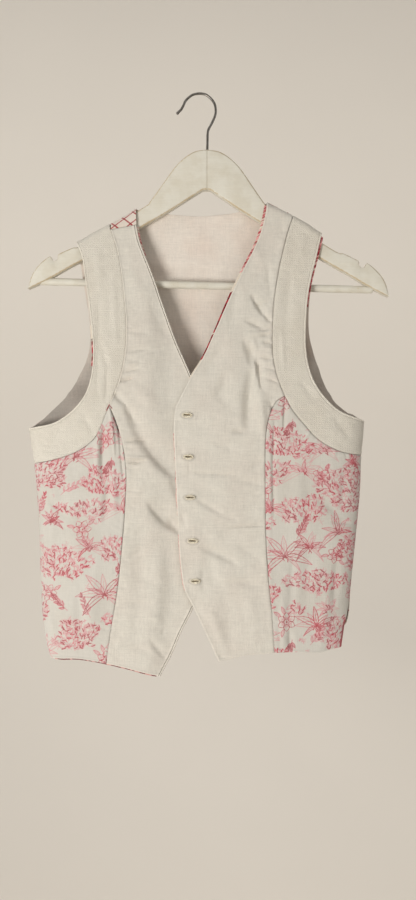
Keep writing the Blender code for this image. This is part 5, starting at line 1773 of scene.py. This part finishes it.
def hung(points):
    """From the hanger's own frame to the row's: tilted about the foot of the hook."""
    p = np.asarray(points, float)
    c, s = math.cos(HANG_TILT), math.sin(HANG_TILT)
    return np.stack([FOOT[0] + p[..., 0] * c + p[..., 2] * s, p[..., 1],
                     FOOT[1] - p[..., 0] * s + p[..., 2] * c], -1)


def make_board():
    """The board: its outline drawn finely, with round edges, and each face a ring of strips inside it."""
    upper = Line(BOARD_TOP[:13]).points
    tip = Line(BOARD_TOP[12:]).points
    under = Line(BOARD_UNDER).points

    def even(points, gap):
        run = np.concatenate([[0], np.cumsum(np.linalg.norm(np.diff(points, axis=0), axis=1))])
        t = np.linspace(0, run[-1], max(3, int(run[-1] / gap)))
        return np.stack([np.interp(t, run, points[:, k]) for k in (0, 1)], 1)
    half = np.vstack([even(upper, 2.6), even(tip, 1.1)[1:], even(under, 3.0)])
    run = np.vstack([half * (ARM_LEFT, 1), (half * (-ARM_RIGHT, 1))[::-1][:-1]])
    # Round edges: the outline drawn in by steps as it nears each face.
    n = len(run)
    ahead = unit(np.roll(run, -1, 0) - np.roll(run, 1, 0))
    inward = np.stack([ahead[:, 1], -ahead[:, 0]], -1)
    area = 0.5 * np.sum(run[:, 0] * np.roll(run[:, 1], -1) - np.roll(run[:, 0], -1) * run[:, 1])
    if area > 0:
        inward = -inward
    steps = [(BOARD_EDGE * (1 - math.sin(a)), -BOARD_THICK / 2 + BOARD_EDGE * (1 - math.cos(a)))
             for a in np.radians([0, 18, 36, 54, 72, 90])]
    steps += [(d, -y) for d, y in steps[::-1]]
    rings = []
    # The edges are rounded less at the tips and the notches, which are too sharp for it.
    tips = np.array([(215.4 * ARM_LEFT, -170.8), (-215.4 * ARM_RIGHT, -170.8)])
    notches = np.array([(185 * ARM_LEFT, -134.5), (-185 * ARM_RIGHT, -134.5)])
    ease = np.clip(np.min([np.linalg.norm(run - t, axis=1) / 9 for t in tips]
                          + [np.linalg.norm(run - t, axis=1) / 12 for t in notches], axis=0), 0.12, 1)[:, None]
    for d, y in steps:
        p = run + inward * d * ease
        rings.append(hung(np.stack([p[:, 0], np.full(n, y), p[:, 1]], -1)))
    verts = np.vstack(rings)
    quads = []
    k = np.arange(n)
    for r in range(len(rings) - 1):
        quads.append(np.stack([r * n + k, r * n + (k + 1) % n, (r + 1) * n + (k + 1) % n, (r + 1) * n + k], 1))
    mesh = bpy.data.meshes.new("hanger_board")
    flat = run + inward * BOARD_EDGE * ease
    made = delaunay_2d_cdt([Vector(p) for p in flat.tolist()], [], [list(range(n))], 1, 1e-4)
    known = [own[0] if own else None for own in made[3]]
    cap = [[known[i] for i in face] for face in made[2] if all(known[i] is not None for i in face)]
    top_ring = (len(rings) - 1) * n
    faces = np.vstack(quads).tolist() + cap + [[i + top_ring for i in face[::-1]] for face in cap]
    mesh.from_pydata((verts * MM).tolist(), [], faces)
    bm = bmesh.new()
    bm.from_mesh(mesh)
    bmesh.ops.recalc_face_normals(bm, faces=bm.faces)
    bm.to_mesh(mesh)
    bm.free()
    edge = np.concatenate([np.full(n, v) for v in (0.25, 0.7, 1, 1, 0.8, 0.35, 0.35, 0.8, 1, 1, 0.7, 0.25)])
    layer = mesh.attributes.new("edge", "FLOAT", "POINT")
    layer.data.foreach_set("value", edge.astype(np.float32))
    obj = finish_mesh("hanger_board", mesh, [paint], 50)
    place_piece(obj, "hanger_body")


def make_bar():
    """A turned bar with faint rings and a little unevenness."""
    (x0, z0), (x1, z1) = BAR_LINE
    t = np.linspace(0, 1, 220)
    path = hung(np.stack([x0 + (x1 - x0) * t, np.zeros_like(t), z0 + (z1 - z0) * t], -1))
    length = math.hypot(x1 - x0, z1 - z0)
    s = t * length
    radius = 4.5 + 0.05 * np.sin(s / 9.0) + 0.035 * np.sin(s / 3.1 + 1) - 0.05
    end = np.minimum(s, length - s)
    radius = radius - 0.9 * np.exp(-(end / 1.0) ** 2)
    verts, faces, caps = tube(path, radius, 28)
    mesh = bpy.data.meshes.new("hanger_cross_bar")
    fill_mesh(mesh, verts, [(faces, 0), (np.array(caps), 0)])
    layer = mesh.attributes.new("edge", "FLOAT", "POINT")
    layer.data.foreach_set("value", np.full(len(verts), 0.45, np.float32))
    obj = finish_mesh("hanger_cross_bar", mesh, [paint], 50)
    place_piece(obj, "hanger_bar")


def make_hook():
    line = Line(HOOK[1:])
    t = np.linspace(0, 1, 170)
    p = line(t)
    tip = unit(p[0] - p[3])
    ball = [(3.9, 0.25), (3.7, 0.9), (3.3, 1.45), (2.6, 1.8), (1.8, 1.85), (1.0, 1.7), (0.4, 1.52)]
    start = np.array([p[0] + tip * d for d, r in ball])
    radius = np.concatenate([[r for d, r in ball], np.full(len(p), 1.5)])
    p = np.vstack([start, p])
    verts, faces, caps = tube(hung(np.stack([p[:, 0], np.zeros(len(p)), p[:, 1]], -1)), radius, 18)
    mesh = bpy.data.meshes.new("hook_wire")
    fill_mesh(mesh, verts, [(faces, 0), (np.array(caps), 0)])
    obj = finish_mesh("hook_wire", mesh, [steel], 50)
    place_piece(obj, "hanger_hook")


make_front_right()
make_front_left()
make_buttonholes()
make_buttons()
make_side_fronts()
make_bands()
make_back()
make_lining()
make_facings()
make_apex_stitches()
make_board()
make_bar()
make_hook()
